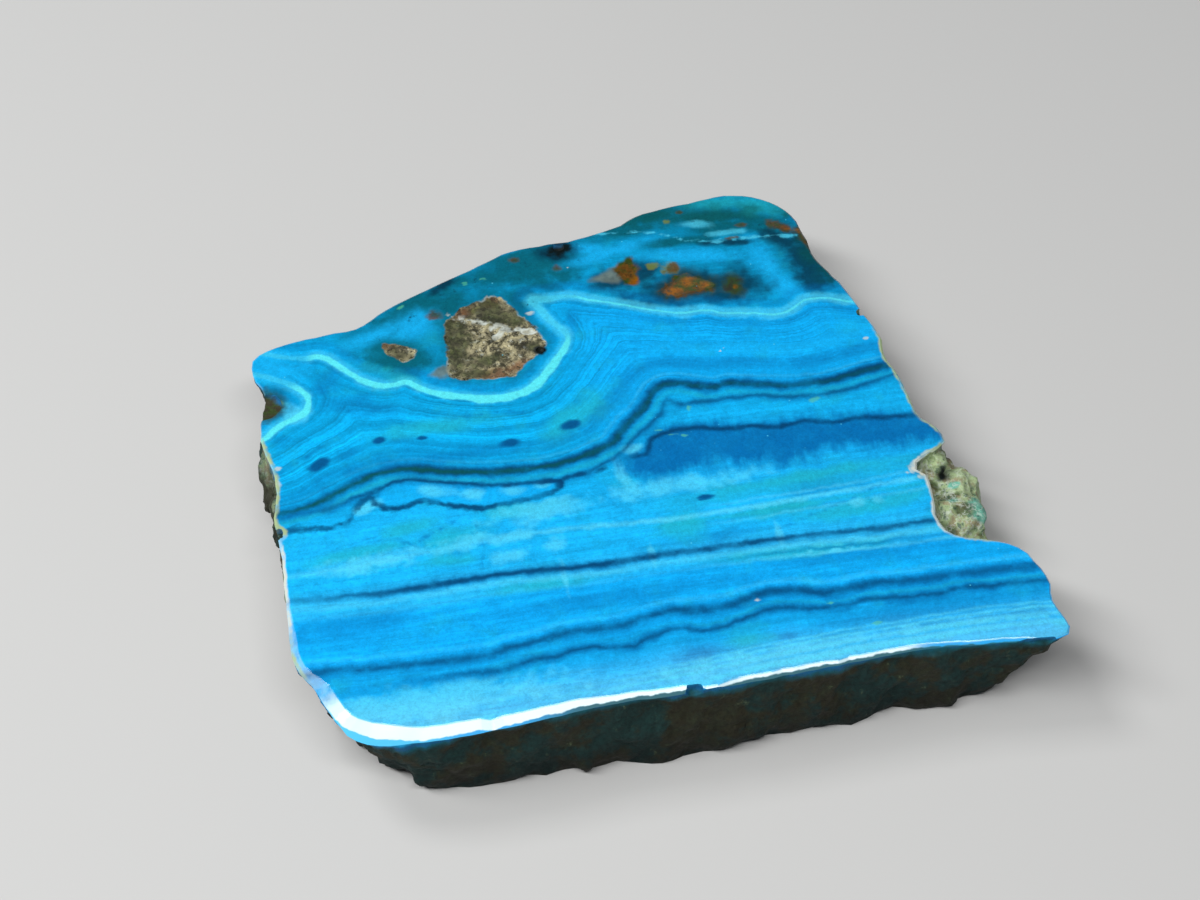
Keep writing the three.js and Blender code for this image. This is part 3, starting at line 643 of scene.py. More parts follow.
def open_slab():
    """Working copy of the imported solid, in millimetres, with its kinds of face told apart"""
    bm = bmesh.new()
    bm.from_mesh(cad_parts[NODE].data)
    bmesh.ops.scale(bm, vec=(1 / MM, 1 / MM, 1 / MM), verts=bm.verts)
    bmesh.ops.remove_doubles(bm, verts=bm.verts, dist=0.001)
    bm.normal_update()
    for face in bm.faces:
        face.material_index = kind_of_face(face)
    return bm


def faces_of(bm, kind):
    return [face for face in bm.faces if face.material_index == kind]


def cut_face_into_cells(bm, size):
    """Upright cuts at even steps, both ways, through the polished face and its bevel"""
    for axis in (0, 1):
        normal = Vector((1.0 - axis, axis, 0.0))
        ahead = faces_of(bm, POLISHED)
        place = LOW[axis] + size
        while place < HIGH[axis] and ahead:
            touched = {edge for face in ahead for edge in face.edges}
            corners = {vert for face in ahead for vert in face.verts}
            parts = bmesh.ops.bisect_plane(
                bm, geom=[*ahead, *touched, *corners], dist=0.0005, plane_co=normal * place, plane_no=normal
            )["geom"]
            pieces = [part for part in parts if isinstance(part, bmesh.types.BMFace)]
            ahead = [face for face in pieces if face.calc_center_median()[axis] > place]
            place += size


def wall_rise(place):
    """How far the wall stands out at a place, as a share of the relief"""
    nearest = noise.voronoi(place / CHIP_SIZE)[0]
    chips = min(nearest[1] - nearest[0], CHIP_TOP) - CHIP_TOP / 2
    lumps = noise.fractal(place / LUMP_SIZE, 1.0, 2.0, 4)
    grain = noise.noise(place / GRAIN_SIZE)
    return LUMP_SHARE * lumps + CHIP_SHARE * chips + GRAIN_SHARE * grain


def roughen_walls(bm, cuts, relief):
    """Finer faces on the broken walls, softened, then broken up into lumps and chips"""
    edges = list({edge for face in faces_of(bm, BROKEN) for edge in face.edges})
    bmesh.ops.subdivide_edges(bm, edges=edges, cuts=cuts, use_grid_fill=True)
    loose = [v for v in bm.verts if all(face.material_index == BROKEN for face in v.link_faces)]
    for _ in range(SMOOTHING_ROUNDS):
        bmesh.ops.smooth_vert(bm, verts=loose, factor=0.5, use_axis_x=True, use_axis_y=True, use_axis_z=True)
    bm.normal_update()
    moves = []
    for vert in loose:
        fade = ease(TOP - vert.co.z, *FADE_UNDER_FACE) * ease(vert.co.z, *FADE_OVER_FOOT)
        rise = relief * wall_rise(vert.co)
        moves.append(vert.normal * rise * fade)
    for vert, move in zip(loose, moves):
        vert.co += move
        vert.co.z = max(vert.co.z, LOWEST_WALL)


def pit_rock(bm, depth):
    """Sinks the rock inclusions a little into the polished face, with small pits"""
    face_verts = [v for v in bm.verts if v.co.z > TOP - ON_FACE]
    places = np.array([v.co[:2] for v in face_verts])
    inside = depth_in(places, LOOPS["brown"] + LOOPS["rust"] + LOOPS["red"])
    for vert, away in zip(face_verts, inside):
        grain = PIT_GRAIN_SHARE * noise.noise(vert.co / PIT_GRAIN)
        pits = PIT_FLOOR + max(noise.noise(vert.co / PIT_SIZE), 0.0) + grain
        vert.co.z -= depth * pits * ease(-away, 0.0, PIT_EDGE)


def rim_distance(bm):
    """Distance from each point to the edge between the polished face and the broken walls"""
    edge = [v for v in bm.verts if {POLISHED, BROKEN} <= {face.material_index for face in v.link_faces}]
    tree = KDTree(len(edge))
    for index, vert in enumerate(edge):
        tree.insert(vert.co, index)
    tree.balance()
    return np.array([tree.find(vert.co)[2] for vert in bm.verts])


def mark_sharp_edges(bm):
    """Keeps the sawn edge and the steep turns of the polished face crisp"""
    for edge in bm.edges:
        kinds = {face.material_index for face in edge.link_faces}
        turned = len(edge.link_faces) == 2 and POLISHED in kinds and edge.calc_face_angle() > SHARP_TURN
        edge.smooth = not (SAWN in kinds and len(kinds) == 2 or turned)
    for face in bm.faces:
        face.smooth = True


def build_slab_mesh(shape):
    bm = open_slab()
    roughen_walls(bm, shape.wall_cuts, shape.wall_relief / MM)
    cut_face_into_cells(bm, shape.cell / MM)
    pit_rock(bm, shape.pitting / MM)
    bmesh.ops.triangulate(bm, faces=[face for face in bm.faces if len(face.verts) > 4])
    bm.normal_update()
    mark_sharp_edges(bm)
    fields = trace_fields(np.array([v.co[:2] for v in bm.verts]))
    fields["rim"] = rim_distance(bm)
    bmesh.ops.scale(bm, vec=(MM, MM, MM), verts=bm.verts)
    mesh = bpy.data.meshes.new("dressed_slab")
    bm.to_mesh(mesh)
    bm.free()
    for name, values in fields.items():
        field = mesh.attributes.new(name, "FLOAT", "POINT")
        field.data.foreach_set("value", values.astype(np.float32))
    return mesh


# Finishes


class Finish:
    """A material, with short names for the nodes that its recipe uses"""

    def __init__(self, name):
        self.material = bpy.data.materials.new(name)
        self.material.use_nodes = True
        self.tree = self.material.node_tree
        self.shader = self.tree.nodes["Principled BSDF"]
        coordinates = self.tree.nodes.new("ShaderNodeTexCoord")
        scale = self.tree.nodes.new("ShaderNodeMapping")
        scale.inputs["Scale"].default_value = (1 / MM, 1 / MM, 1 / MM)
        self.tree.links.new(coordinates.outputs["Object"], scale.inputs["Vector"])
        self.place = scale.outputs["Vector"]
        axes = self.tree.nodes.new("ShaderNodeSeparateXYZ")
        self.set(axes.inputs[0], self.place)
        self.known_fields = dict(zip("xyz", axes.outputs))
        self.wobble = self.noise(1.7, 2.0, 0.5)
        self.ripple = self.noise(0.7, 2.0, 0.5)
        self.swell = self.math("MULTIPLY_ADD", self.wobble, 1.2, 1.0)

    def set(self, socket, value):
        """Links a value to a socket, or writes it there"""
        if isinstance(value, bpy.types.NodeSocket):
            self.tree.links.new(value, socket)
        elif hasattr(value, "__len__") and socket.type == "RGBA":
            socket.default_value = (*value[:3], 1.0)
        else:
            socket.default_value = value

    def field(self, name):
        """A coordinate in millimetres, or a distance that the mesh carries"""
        if name not in self.known_fields:
            node = self.tree.nodes.new("ShaderNodeAttribute")
            node.attribute_name = name
            self.known_fields[name] = node.outputs["Fac"]
        return self.known_fields[name]

    def math(self, operation, first, second=0.0, third=0.0):
        node = self.tree.nodes.new("ShaderNodeMath")
        node.operation = operation
        for socket, value in zip(node.inputs, (first, second, third)):
            self.set(socket, value)
        return node.outputs[0]

    def share(self, mask, amount):
        """Part of a mask, or where two masks meet"""
        return self.math("MULTIPLY", mask, amount)

    def ease(self, value, start, stop, low=0.0, high=1.0):
        """From low to high while the value goes from start to stop"""
        node = self.tree.nodes.new("ShaderNodeMapRange")
        node.interpolation_type = "SMOOTHSTEP"
        entries = {"Value": value, "From Min": start, "From Max": stop, "To Min": low, "To Max": high}
        for name, entry in entries.items():
            self.set(node.inputs[name], entry)
        return node.outputs["Result"]

    def blend(self, mask, outside, inside):
        """One amount outside a mask and another inside it"""
        return self.ease(mask, 0.0, 1.0, outside, inside)

    def keyed(self, value, keys):
        """From one stated amount to the next as the value passes their places"""
        total = keys[0][1]
        for (start, before), (stop, after) in zip(keys, keys[1:]):
            total = self.math("ADD", total, self.ease(value, start, stop, 0.0, after - before))
        return total

    def zone(self, name):
        """1 inside a zone of the stone, fading at its limits"""
        inside = 1.0
        for measure, start, stop in ZONES[name]:
            inside = self.share(inside, self.ease(self.field(measure), start, stop))
        return inside

    def stretch(self, x, y, z=1.0):
        """Places measured in grains of the given size"""
        node = self.tree.nodes.new("ShaderNodeMapping")
        self.set(node.inputs["Vector"], self.place)
        node.inputs["Scale"].default_value = (1 / x, 1 / y, 1 / z)
        return node.outputs["Vector"]

    def noise_node(self, scale, detail, rough):
        node = self.tree.nodes.new("ShaderNodeTexNoise")
        node.inputs["Scale"].default_value = scale
        node.inputs["Detail"].default_value = detail
        node.inputs["Roughness"].default_value = rough
        return node

    def noise(self, size, detail=2.0, rough=0.5, vector=None):
        """Smooth noise about zero, from about -0.5 to 0.5, with grains of the given size"""
        node = self.noise_node(1.0 / size, detail, rough)
        self.set(node.inputs["Vector"], vector or self.place)
        return self.math("SUBTRACT", node.outputs["Fac"], 0.5)

    def layers(self, value, scale, detail=3.0, rough=0.6):
        """Noise along one value, so that it is the same all along a layer"""
        node = self.noise_node(scale, detail, rough)
        node.noise_dimensions = "1D"
        self.set(node.inputs["W"], value)
        return self.math("SUBTRACT", node.outputs["Fac"], 0.5)

    def spots(self, size, start, stop, detail=4.0, rough=0.6):
        """Mask of uneven spots of the given size, where the noise is past a level"""
        return self.ease(self.noise(size, detail, rough), start, stop)

    def grains(self, size):
        """Cells of the given size, each with its own shade"""
        node = self.tree.nodes.new("ShaderNodeTexVoronoi")
        self.set(node.inputs["Vector"], self.place)
        node.inputs["Scale"].default_value = 1.0 / size
        return node.outputs

    def grain_shade(self, size):
        """Shade of each cell, from about -0.5 to 0.5"""
        return self.math("SUBTRACT", self.grains(size)["Color"], 0.5)

    def ramp(self, value, stops):
        """Colour that goes from stop to stop"""
        node = self.tree.nodes.new("ShaderNodeValToRGB")
        elements = node.color_ramp.elements
        elements.remove(elements[1])
        elements[0].position = stops[0][0]
        for position, _ in stops[1:]:
            elements.new(position)
        for element, (_, shade) in zip(elements, stops):
            element.color = (*shade[:3], 1.0)
        self.set(node.inputs["Fac"], value)
        return node.outputs["Color"]

    def paint(self, mask, under, over):
        """Lays one colour over another where the mask is 1"""
        node = self.tree.nodes.new("ShaderNodeMix")
        node.data_type = "RGBA"
        factor, under_colour, over_colour = (node.inputs[index] for index in (0, 6, 7))
        self.set(factor, mask)
        self.set(under_colour, under)
        self.set(over_colour, over)
        return node.outputs[2]

    def shade(self, under, amount):
        """Brightens or darkens by a share"""
        node = self.tree.nodes.new("ShaderNodeVectorMath")
        node.operation = "SCALE"
        self.set(node.inputs[0], under)
        self.set(node.inputs["Scale"], self.math("ADD", amount, 1.0))
        return node.outputs[0]

    def coat(self, mask, over, amount=1.0):
        """Lays a colour over what is already there"""
        self.colour = self.paint(self.share(mask, amount), self.colour, over)

    def tone(self, amount):
        """Brightens or darkens what is already there"""
        self.colour = self.shade(self.colour, amount)

    def warp(self, name, ripple, wobble):
        """A traced distance, made uneven by the two noises"""
        rippled = self.math("MULTIPLY_ADD", self.ripple, ripple, self.field(name))
        return self.math("MULTIPLY_ADD", self.wobble, wobble, rippled)

    def stripe(self, name, over, half_width, soft, ripple=0.35, wobble=0.4):
        """1 along a traced line, or so far over it"""
        away = self.math("ABSOLUTE", self.math("SUBTRACT", self.warp(name, ripple, wobble), over))
        width = self.math("MULTIPLY", self.swell, half_width)
        return self.ease(away, self.math("ADD", width, soft), self.math("SUBTRACT", width, 0.5 * soft))

    def within(self, name, soft, ripple=0.5, wobble=0.2, grow=0.0):
        """1 inside an outline or a seam"""
        return self.ease(self.warp(name, ripple, wobble), grow + soft, grow - soft)

    def patch(self, name, soft, ripple=0.8, wobble=1.6):
        """1 in the middle of a patch, fading over its edge"""
        return self.ease(self.warp(name, ripple, wobble), -soft, soft)

    def finished(self, roughness, height, relief, strength):
        """The material with its colour, its roughness and the fine relief of its surface"""
        bump = self.tree.nodes.new("ShaderNodeBump")
        bump.inputs["Distance"].default_value = relief
        bump.inputs["Strength"].default_value = strength
        self.set(bump.inputs["Height"], height)
        self.set(self.shader.inputs["Normal"], bump.outputs["Normal"])
        self.set(self.shader.inputs["Base Color"], self.colour)
        self.set(self.shader.inputs["Roughness"], roughness)
        return self.material


def layer_stops(bands):
    """Base colour through the layers, as places from 0 at the back to 1 at the front edge"""
    stops = []
    for height, parts in LAYER_COLOURS:
        shade = sum(share * np.array(getattr(bands, name)) for name, share in parts.items())
        stops.append((height / len(LAYER_GUIDES), tuple(shade)))
    return stops


def paint_layers(mix, bands):
    """Blue ground with its laminae, mottling and soft patches"""
    layer = mix.math("MULTIPLY_ADD", mix.wobble, 0.05, mix.field("layer"))
    layer = mix.math("MULTIPLY_ADD", mix.ripple, 0.03, layer)
    mix.colour = mix.ramp(mix.math("DIVIDE", layer, len(LAYER_GUIDES)), layer_stops(bands))
    folded = mix.share(mix.ease(layer, 0.98, 1.1), mix.ease(layer, 2.02, 1.95))
    mix.tone(mix.share(mix.layers(layer, 10.0, 2.0), mix.blend(folded, 0.15, 0.9)))
    mix.coat(mix.share(folded, mix.zone("right_half")), bands.azure, 0.7)
    fine = mix.share(mix.layers(layer, 32.0, 3.0, 0.7), mix.ease(mix.noise(4.0), -0.1, 0.1, 0.35, 1.1))
    mix.tone(mix.share(fine, mix.blend(folded, 0.3, 1.0)))
    streaks = mix.noise(1.0, 5.0, 0.65, mix.stretch(6.0, 0.45))
    mix.tone(mix.share(streaks, mix.blend(folded, 0.9, 0.3)))
    mix.tone(mix.share(mix.noise(1.4, 5.0, 0.7), 0.55))
    mix.coat(mix.spots(3.2, 0.02, 0.2), bands.green, 0.3)
    mix.coat(mix.spots(2.3, -0.02, -0.25, 5.0), bands.deep, 0.3)
    for name, (soft, ripple, wobble, shade, strength) in GROUND_PATCHES.items():
        mix.coat(mix.patch(name, soft, ripple, wobble), getattr(bands, shade), strength)
    # A faint pale veil in the bevel's colour over the front layers, partly painted sheen
    mix.coat(mix.ease(layer, 4.3, 4.9), bands.frost_and_glint, 0.08)


def paint_turquoise_line(mix, bands):
    """The bright folded line, with a deep layer behind it and a pale halo"""
    x = mix.field("x")
    strength = mix.share(mix.ease(x, -3.0, 3.0, 1.0, 0.75), mix.blend(mix.zone("left_end_fold"), 1.0, 0.25))
    core = mix.math("ADD", mix.ease(x, -4.0, 1.0, 0.2, 0.05), mix.share(mix.zone("fold_around_rock"), 0.1))
    halo = mix.share(strength, mix.ease(x, -4.0, 2.0, 0.3, 0.6))
    mix.coat(mix.stripe("turquoise", 1.1, 0.3, 0.4), bands.deep, 0.3)
    mix.coat(mix.stripe("turquoise", 0.1, 0.4, 0.3), bands.ice, halo)
    strength = mix.share(strength, mix.blend(mix.zone("fold_beside_rock"), 1.0, 0.3))
    mix.coat(mix.stripe("turquoise", 0.0, core, 0.13, 0.2, 0.2), bands.turquoise, strength)


def paint_bands(mix, bands):
    """Dark and light stripes of the banding, the pool, the pocket, the eyes and the seams"""
    drips = mix.noise(1.0, 4.0, 0.6, mix.stretch(0.5, 3.0))
    pool = mix.ease(mix.math("MULTIPLY_ADD", drips, 2.0, mix.warp("pool", 0.6, 1.6)), 1.3, -0.7)
    mix.coat(pool, bands.deep, mix.ease(mix.wobble, -0.15, 0.15, 1.0, 0.9))
    mix.coat(mix.within("pocket", 0.2), bands.azure, 0.5)
    mix.coat(mix.patch("blush", 0.5), bands.ice, 0.55)
    patchy = mix.ease(mix.noise(2.6, 4.0, 0.6), -0.15, 0.05, 0.6, 1.0)
    for line, over, half_width, soft, shade, *strengths in STRIPES:
        strength = mix.share(patchy, mix.keyed(mix.field("x"), strengths))
        mix.coat(mix.stripe(line, over, half_width, soft), getattr(bands, shade), strength)
    pocket_front = mix.zone("pocket_front")
    pocket_edge = mix.stripe("pocket", 0.0, mix.blend(pocket_front, 0.03, 0.18), 0.22, 0.5, 0.5)
    mix.coat(pocket_edge, bands.ink, mix.share(patchy, mix.blend(pocket_front, 0.65, 0.95)))
    mix.coat(mix.patch("eyes", 0.35, 0.4, 1.2), bands.deep)
    mix.coat(mix.patch("eyes", 0.5, 0.4, 1.2), bands.ink, 0.6)
    mix.coat(mix.within("dark_seams", 0.2, 0.8, 0.6), bands.ink, 0.8)
    mix.coat(mix.within("hair_cracks", 0.16, 0.6), bands.deep, 0.55)
    mix.coat(mix.within("pale_seams", 0.12, 0.7, 0.3), bands.ice, 0.65)
    paint_turquoise_line(mix, bands)
    mix.tone(mix.share(mix.noise(0.3, 4.0, 0.75), 0.75))
    mix.tone(mix.share(mix.noise(0.13, 2.0, 0.7), 0.45))


def rock_colour(mix, rock):
    """Grainy rock with darker and redder parts"""
    stone = mix.paint(mix.spots(1.0, -0.1, 0.06, 5.0, 0.75), rock.umber, rock.brown)
    stone = mix.paint(mix.share(mix.spots(0.45, 0.04, 0.2, 4.0, 0.7), 0.35), stone, rock.chalk)
    stone = mix.paint(mix.share(mix.patch("rock_red", 0.6), 0.8), stone, rock.red)
    dark_olive = mix.shade(mix.paint(0.4, rock.umber, rock.olive), mix.share(mix.ripple, 3.0))
    stone = mix.paint(mix.share(mix.patch("rock_dark", 0.5), 0.85), stone, dark_olive)
    stone = mix.paint(mix.share(mix.spots(0.28, 0.05, 0.13, 3.0, 0.7), 0.85), stone, rock.umber)
    return mix.shade(stone, mix.share(mix.grain_shade(0.3), 1.3))


def rust_colour(mix, rock):
    """Orange iron stain, brown and olive away from its brightest spots"""
    dusky = mix.paint(0.4, rock.umber, rock.rust)
    stain = mix.paint(mix.spots(0.9, -0.1, 0.1), rock.olive, dusky)
    stain = mix.paint(mix.share(mix.patch("embers", 0.6, 2.4), 0.9), stain, rock.rust)
    stain = mix.paint(mix.share(mix.spots(0.5, 0.04, 0.18, 4.0, 0.65), 0.7), stain, rock.umber)
    return mix.shade(stain, mix.share(mix.grain_shade(0.25), 0.6))


def paint_specks(mix, bands, rock, rust):
    """Specks and spots of every colour, painted shade in the holes, and the white seams of the rock"""
    mix.coat(mix.patch("gold_specks", 0.5, 3.0), rock.gold, 0.6)
    mix.coat(mix.patch("lime_specks", 0.5, 3.0), rock.lime, 0.55)
    mix.coat(mix.patch("brown_spots", 0.8, 2.0), mix.paint(0.5, rock.umber, rock.red), 0.6)
    mix.coat(mix.patch("brown_spots", 0.5, 3.0), rust, 0.65)
    # Painted shade: near-black in the small holes
    mix.coat(mix.patch("black", 0.5, 2.0), rock.hole)
    mix.coat(mix.patch("white_specks", 0.4, 2.0), rock.chalk, 0.7)
    flecks = mix.grains(1.4)
    chosen = mix.ease(flecks["Color"], 0.55, 0.75)
    mix.coat(mix.share(mix.ease(flecks["Distance"], 0.055, 0.025), chosen), bands.ice, 0.7)
    seam_strength = mix.ease(mix.ripple, -0.15, 0.05, 0.35, 0.95)
    mix.coat(mix.within("white_seams", 0.14, 1.2, 0.8), rock.chalk, seam_strength)


def paint_rock(mix, bands, rock):
    """Inclusions, stains and specks over the blue"""
    stone = rock_colour(mix, rock)
    rust = rust_colour(mix, rock)
    olive = mix.paint(mix.ease(mix.ripple, -0.2, 0.0), rock.umber, rock.olive)
    outline_strength = mix.ease(mix.wobble, 0.0, 0.15, 0.0, 0.4)
    mix.coat(mix.share(mix.patch("teal", 0.6), mix.spots(0.8, 0.08, 0.2, 5.0, 0.75)), bands.gloom, 0.75)
    mix.coat(mix.within("brown", 0.6, 0.8, 0.8, 0.4), bands.teal, 0.5)
    mix.coat(mix.within("brown", 0.1, 0.7, 0.35), stone)
    mix.coat(mix.stripe("brown", 0.0, 0.02, 0.1, 0.7), rock.chalk, outline_strength)
    mix.coat(mix.within("grey", 0.25, 0.7), mix.shade(rock.grey, mix.share(mix.ripple, 1.6)), 0.85)
    mix.coat(mix.within("red", 0.22, 0.8), rust)
    mix.coat(mix.within("rust", 0.7, 1.6, 1.2, 0.3), mix.shade(rock.olive, -0.4), 0.8)
    mix.coat(mix.within("rust", 0.32, 1.8, 1.2), rust)
    mix.coat(mix.within("olive", 0.5, 1.2, 0.8, 0.1), olive, 0.9)
    mix.coat(mix.share(mix.patch("embers", 0.7, 1.6), mix.within("olive", 0.3)), rust, 0.7)
    paint_specks(mix, bands, rock, rust)


def paint_bevel(mix, bands):
    """Painted highlight and pale ground edge of the bevel, with blue and teal below and beside it, and where
    those two lie
    """
    x = mix.field("x")
    # Painted highlight: the bevel's white, patchy away from the front and nearly full along it, over its pale
    # ground edge
    patchy_glint = mix.ease(mix.math("ADD", mix.ripple, mix.wobble), -0.2, 0.1, 0.1, 0.7)
    patchy_glint = mix.share(patchy_glint, mix.blend(mix.zone("left_front_edge"), 1.0, 0.3))
    mix.coat(mix.zone("glinting_bevel"), bands.frost_and_glint, mix.blend(mix.zone("white_front"), patchy_glint, 0.95))
    drop = mix.math("MULTIPLY_ADD", mix.ripple, 0.16, mix.math("SUBTRACT", TOP, mix.field("z")))
    under_white = mix.ease(mix.math("SUBTRACT", drop, mix.keyed(x, WHITE_DROPS)), -0.03, 0.03)
    under_white = mix.share(under_white, mix.zone("front_strip"))
    past_white = mix.zone("right_front_bevel")
    corner_blue = mix.paint(mix.ease(x, -17.0, -14.0), mix.paint(0.4, bands.sky, bands.ice), bands.azure)
    mix.coat(past_white, bands.azure, 0.95)
    mix.coat(under_white, mix.paint(mix.ease(x, -12.0, -6.0), corner_blue, bands.teal), 0.95)
    return mix.math("MAXIMUM", under_white, past_white)


def paint_rim(mix, rock):
    """Thin pale crust along the chipped edges at the left and right"""
    chipped = mix.ease(mix.noise(1.5, 3.0), -0.15, 0.05, 0.3, 1.0)
    chipped = mix.share(chipped, mix.math("MAXIMUM", mix.zone("right_rim"), mix.zone("left_rim")))
    from_ledge = mix.math("ABSOLUTE", mix.math("SUBTRACT", mix.field("y"), LEDGE_MIDDLE))
    rim_colour = mix.paint(mix.ease(from_ledge, 4.5, 3.5), rock.sage, rock.chalk)
    mix.coat(mix.ease(mix.warp("rim", 0.35, 0.0), 0.34, 0.14), rim_colour, chipped)


def polished_finish(settings):
    """Glossy blue stone of the face and its bevel, dull on the rock and on the ground strips"""
    mix = Finish("polished_face")
    paint_layers(mix, settings.bands)
    paint_bands(mix, settings.bands)
    unpolished = paint_bevel(mix, settings.bands)
    paint_rock(mix, settings.bands, settings.rock)
    paint_rim(mix, settings.rock)
    dull = mix.ease(mix.math("MINIMUM", mix.field("brown"), mix.field("rust")), 0.1, -0.1)
    dull = mix.math("MAXIMUM", dull, unpolished)
    dull = mix.math("MAXIMUM", dull, mix.share(mix.zone("left_front_bevel"), 0.8))
    scuffs = mix.ease(mix.noise(3.0, 4.0, 0.7), 0.0, 0.3, 0.0, 0.06)
    scuffs = mix.math("ADD", scuffs, mix.share(mix.zone("bevel"), 0.06))
    roughness = mix.math("ADD", mix.math("MULTIPLY_ADD", dull, DULL_ROUGHNESS, POLISHED_ROUGHNESS), scuffs)
    return mix.finished(roughness, mix.share(mix.noise(0.12, 3.0, 0.7), dull), 0.04 * MM, 0.6)


def paint_wall(mix, bands, rock, patchy, speckle):
    """Dull olive and teal rock with painted shade darkening its foot, and the blue just under the polished
    edge
    """
    # The dark rock made darker still, as painted shade on the walls
    dark_rock = mix.shade(rock.umber, -0.4)
    mix.colour = mix.paint(mix.spots(0.9, -0.12, 0.14, 5.0, 0.7), dark_rock, rock.wall)
    mix.coat(mix.ease(patchy, -0.06, 0.08), rock.wall_teal, 0.7)
    mix.coat(mix.spots(0.9, 0.1, 0.24, 6.0, 0.75), rock.sage, 0.25)
    mix.tone(mix.share(speckle, 2.2))
    # Painted shade: the wall darkens towards its foot, where it meets the floor
    mix.tone(mix.ease(mix.field("z"), 3.6, 0.4, 0.0, -0.55))
    depth = mix.math("SUBTRACT", TOP, mix.field("z"))
    uneven_depth = mix.math("MULTIPLY_ADD", patchy, 1.8, depth)
    strip = mix.math("SUBTRACT", uneven_depth, mix.zone("undercut_corner"))
    mix.coat(mix.ease(strip, 0.95, 0.45), bands.teal, 0.8)
    mix.coat(mix.ease(strip, 0.55, 0.15), bands.deep, 0.6)
    mix.coat(mix.ease(strip, 0.1, -0.3), bands.sky, 0.9)


def crust_colour(mix, rock, speckle):
    """Pale green, cream and teal crust of the ledge and the knolls"""
    crust = mix.paint(mix.spots(1.2, -0.1, 0.02, 5.0, 0.7), rock.brown, rock.sage)
    crust = mix.paint(mix.share(mix.spots(0.5, 0.02, 0.14, 4.0, 0.7), 0.6), crust, rock.chalk)
    front_colour = mix.paint(0.5, rock.wall, rock.sage)
    crust = mix.paint(mix.share(mix.zone("ledge_front"), 0.75), crust, front_colour)
    for name, (soft, ripple, wobble, shade, strength) in LEDGE_PATCHES.items():
        mask = mix.share(mix.patch(name, soft, ripple, wobble), strength)
        crust = mix.paint(mask, crust, getattr(rock, shade))
    crust = mix.paint(mix.share(mix.spots(0.6, 0.05, 0.12, 5.0, 0.7), 0.7), crust, rock.wall_teal)
    veins = mix.ease(mix.math("ABSOLUTE", mix.noise(1.3, 4.0, 0.6)), 0.022, 0.004)
    crust = mix.paint(mix.share(veins, 0.5), crust, rock.chalk)
    return mix.shade(crust, mix.share(speckle, 1.2))


def broken_finish(settings):
    """Rock of the broken walls, with its crust, the crystal at the ledge and the painted shade of the dark
    holes
    """
    mix = Finish("broken_wall")
    bands, rock = settings.bands, settings.rock
    patchy = mix.noise(2.6, 5.0, 0.65)
    speckle = mix.noise(0.3, 4.0, 0.75)
    paint_wall(mix, bands, rock, patchy, speckle)
    crust = crust_colour(mix, rock, speckle)
    mix.coat(mix.zone("ledge"), crust)
    mix.coat(mix.zone("left_knolls"), crust, mix.ease(patchy, -0.1, 0.1, 0.1, 0.7))
    mix.coat(mix.zone("right_lip"), rock.sage, 0.7)
    mix.coat(mix.within("brown", 0.3, 0.6), mix.paint(0.3, rock.brown, rock.umber), 0.9)
    mix.coat(mix.stripe("brown", 0.05, 0.03, 0.12), rock.chalk, 0.7)
    olive = mix.paint(mix.ease(mix.ripple, -0.12, 0.1), rock.umber, rock.olive)
    mix.coat(mix.within("olive", 0.3, 1.2, 0.8), olive)
    # Painted shade: near-black in the small holes
    mix.coat(mix.patch("black", 0.6, 1.0), rock.hole)
    mix.shader.inputs["Specular IOR Level"].default_value = 0.3
    relief = mix.math("ADD", mix.noise(0.3, 5.0, 0.7), mix.grains(0.5)["Distance"])
    return mix.finished(mix.ease(patchy, -0.3, 0.3, *WALL_ROUGHNESS), relief, 0.1 * MM, 0.9)


def sawn_finish(settings):
    """Flat underside, dull from the saw, with the same layers showing through"""
    mix = Finish("sawn_underside")
    bands, rock = settings.bands, settings.rock
    stripes = mix.noise(1.0, 4.0, 0.6, mix.stretch(9.0, 1.4))
    stops = [(0.2, bands.ink), (0.4, bands.deep), (0.55, bands.laminae), (0.8, bands.sky)]
    mix.colour = mix.ramp(mix.math("ADD", stripes, 0.5), stops)
    mix.coat(mix.spots(5.0, 0.02, 0.12, 5.0), rock.wall, 0.9)
    mix.coat(1.0, rock.chalk, 0.25)
    saw_marks = mix.noise(1.0, 2.0, 0.5, mix.stretch(0.25, 14.0))
    return mix.finished(SAWN_ROUGHNESS, saw_marks, 0.05 * MM, 0.6)


class SPECIMEN_OT_slab(bpy.types.Operator):
    """Dress the slab: refine its shape, trace its bands and give it its finishes"""

    bl_idname = "specimen.slab"
    bl_label = "Dress the slab"

    def execute(self, context):
        settings = context.scene.specimen
        slab = add_object("dressed_slab", build_slab_mesh(settings.shape))
        for finish in (polished_finish, broken_finish, sawn_finish):
            slab.data.materials.append(finish(settings))
        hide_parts(NODE)
        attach(slab, "root")
        return {"FINISHED"}


# Stage

TARGET = Vector((-2.0388, -0.9325, 6.5)) * MM  # what the camera looks at, on the polished face
# Each light's direction from the slab, the direction its long side follows, its distance and size in
# millimetres and its watts. The strips are what the bevel mirrors towards the camera.
LIGHTS = {
    "front_strip": {
        "toward": (0.06, -0.46, 0.885), "along": (1.0, 0.0, -0.05),
        "away": 420, "size": (240, 50), "power": 0.60,
    },
    "corner_strip": {
        "toward": (-0.56, -0.13, 0.81), "along": (-0.5, 0.6, -0.29),
        "away": 420, "size": (380, 76), "power": 1.25,
    },
    "key_light": {
        "toward": (-0.45, 0.42, 0.79), "along": (1.0, 0.0, 0.0),
        "away": 500, "size": (150, 150), "power": 0.68,
    },
}
SURROUNDING_LIGHT = 0.06
FLOOR_REACH = 2.0  # metres from the slab to the floor's edges
FLOOR_ROUGHNESS = 0.85


def add_object(name, data):
    item = bpy.data.objects.new(name, data)
    bpy.context.scene.collection.objects.link(item)
    return item


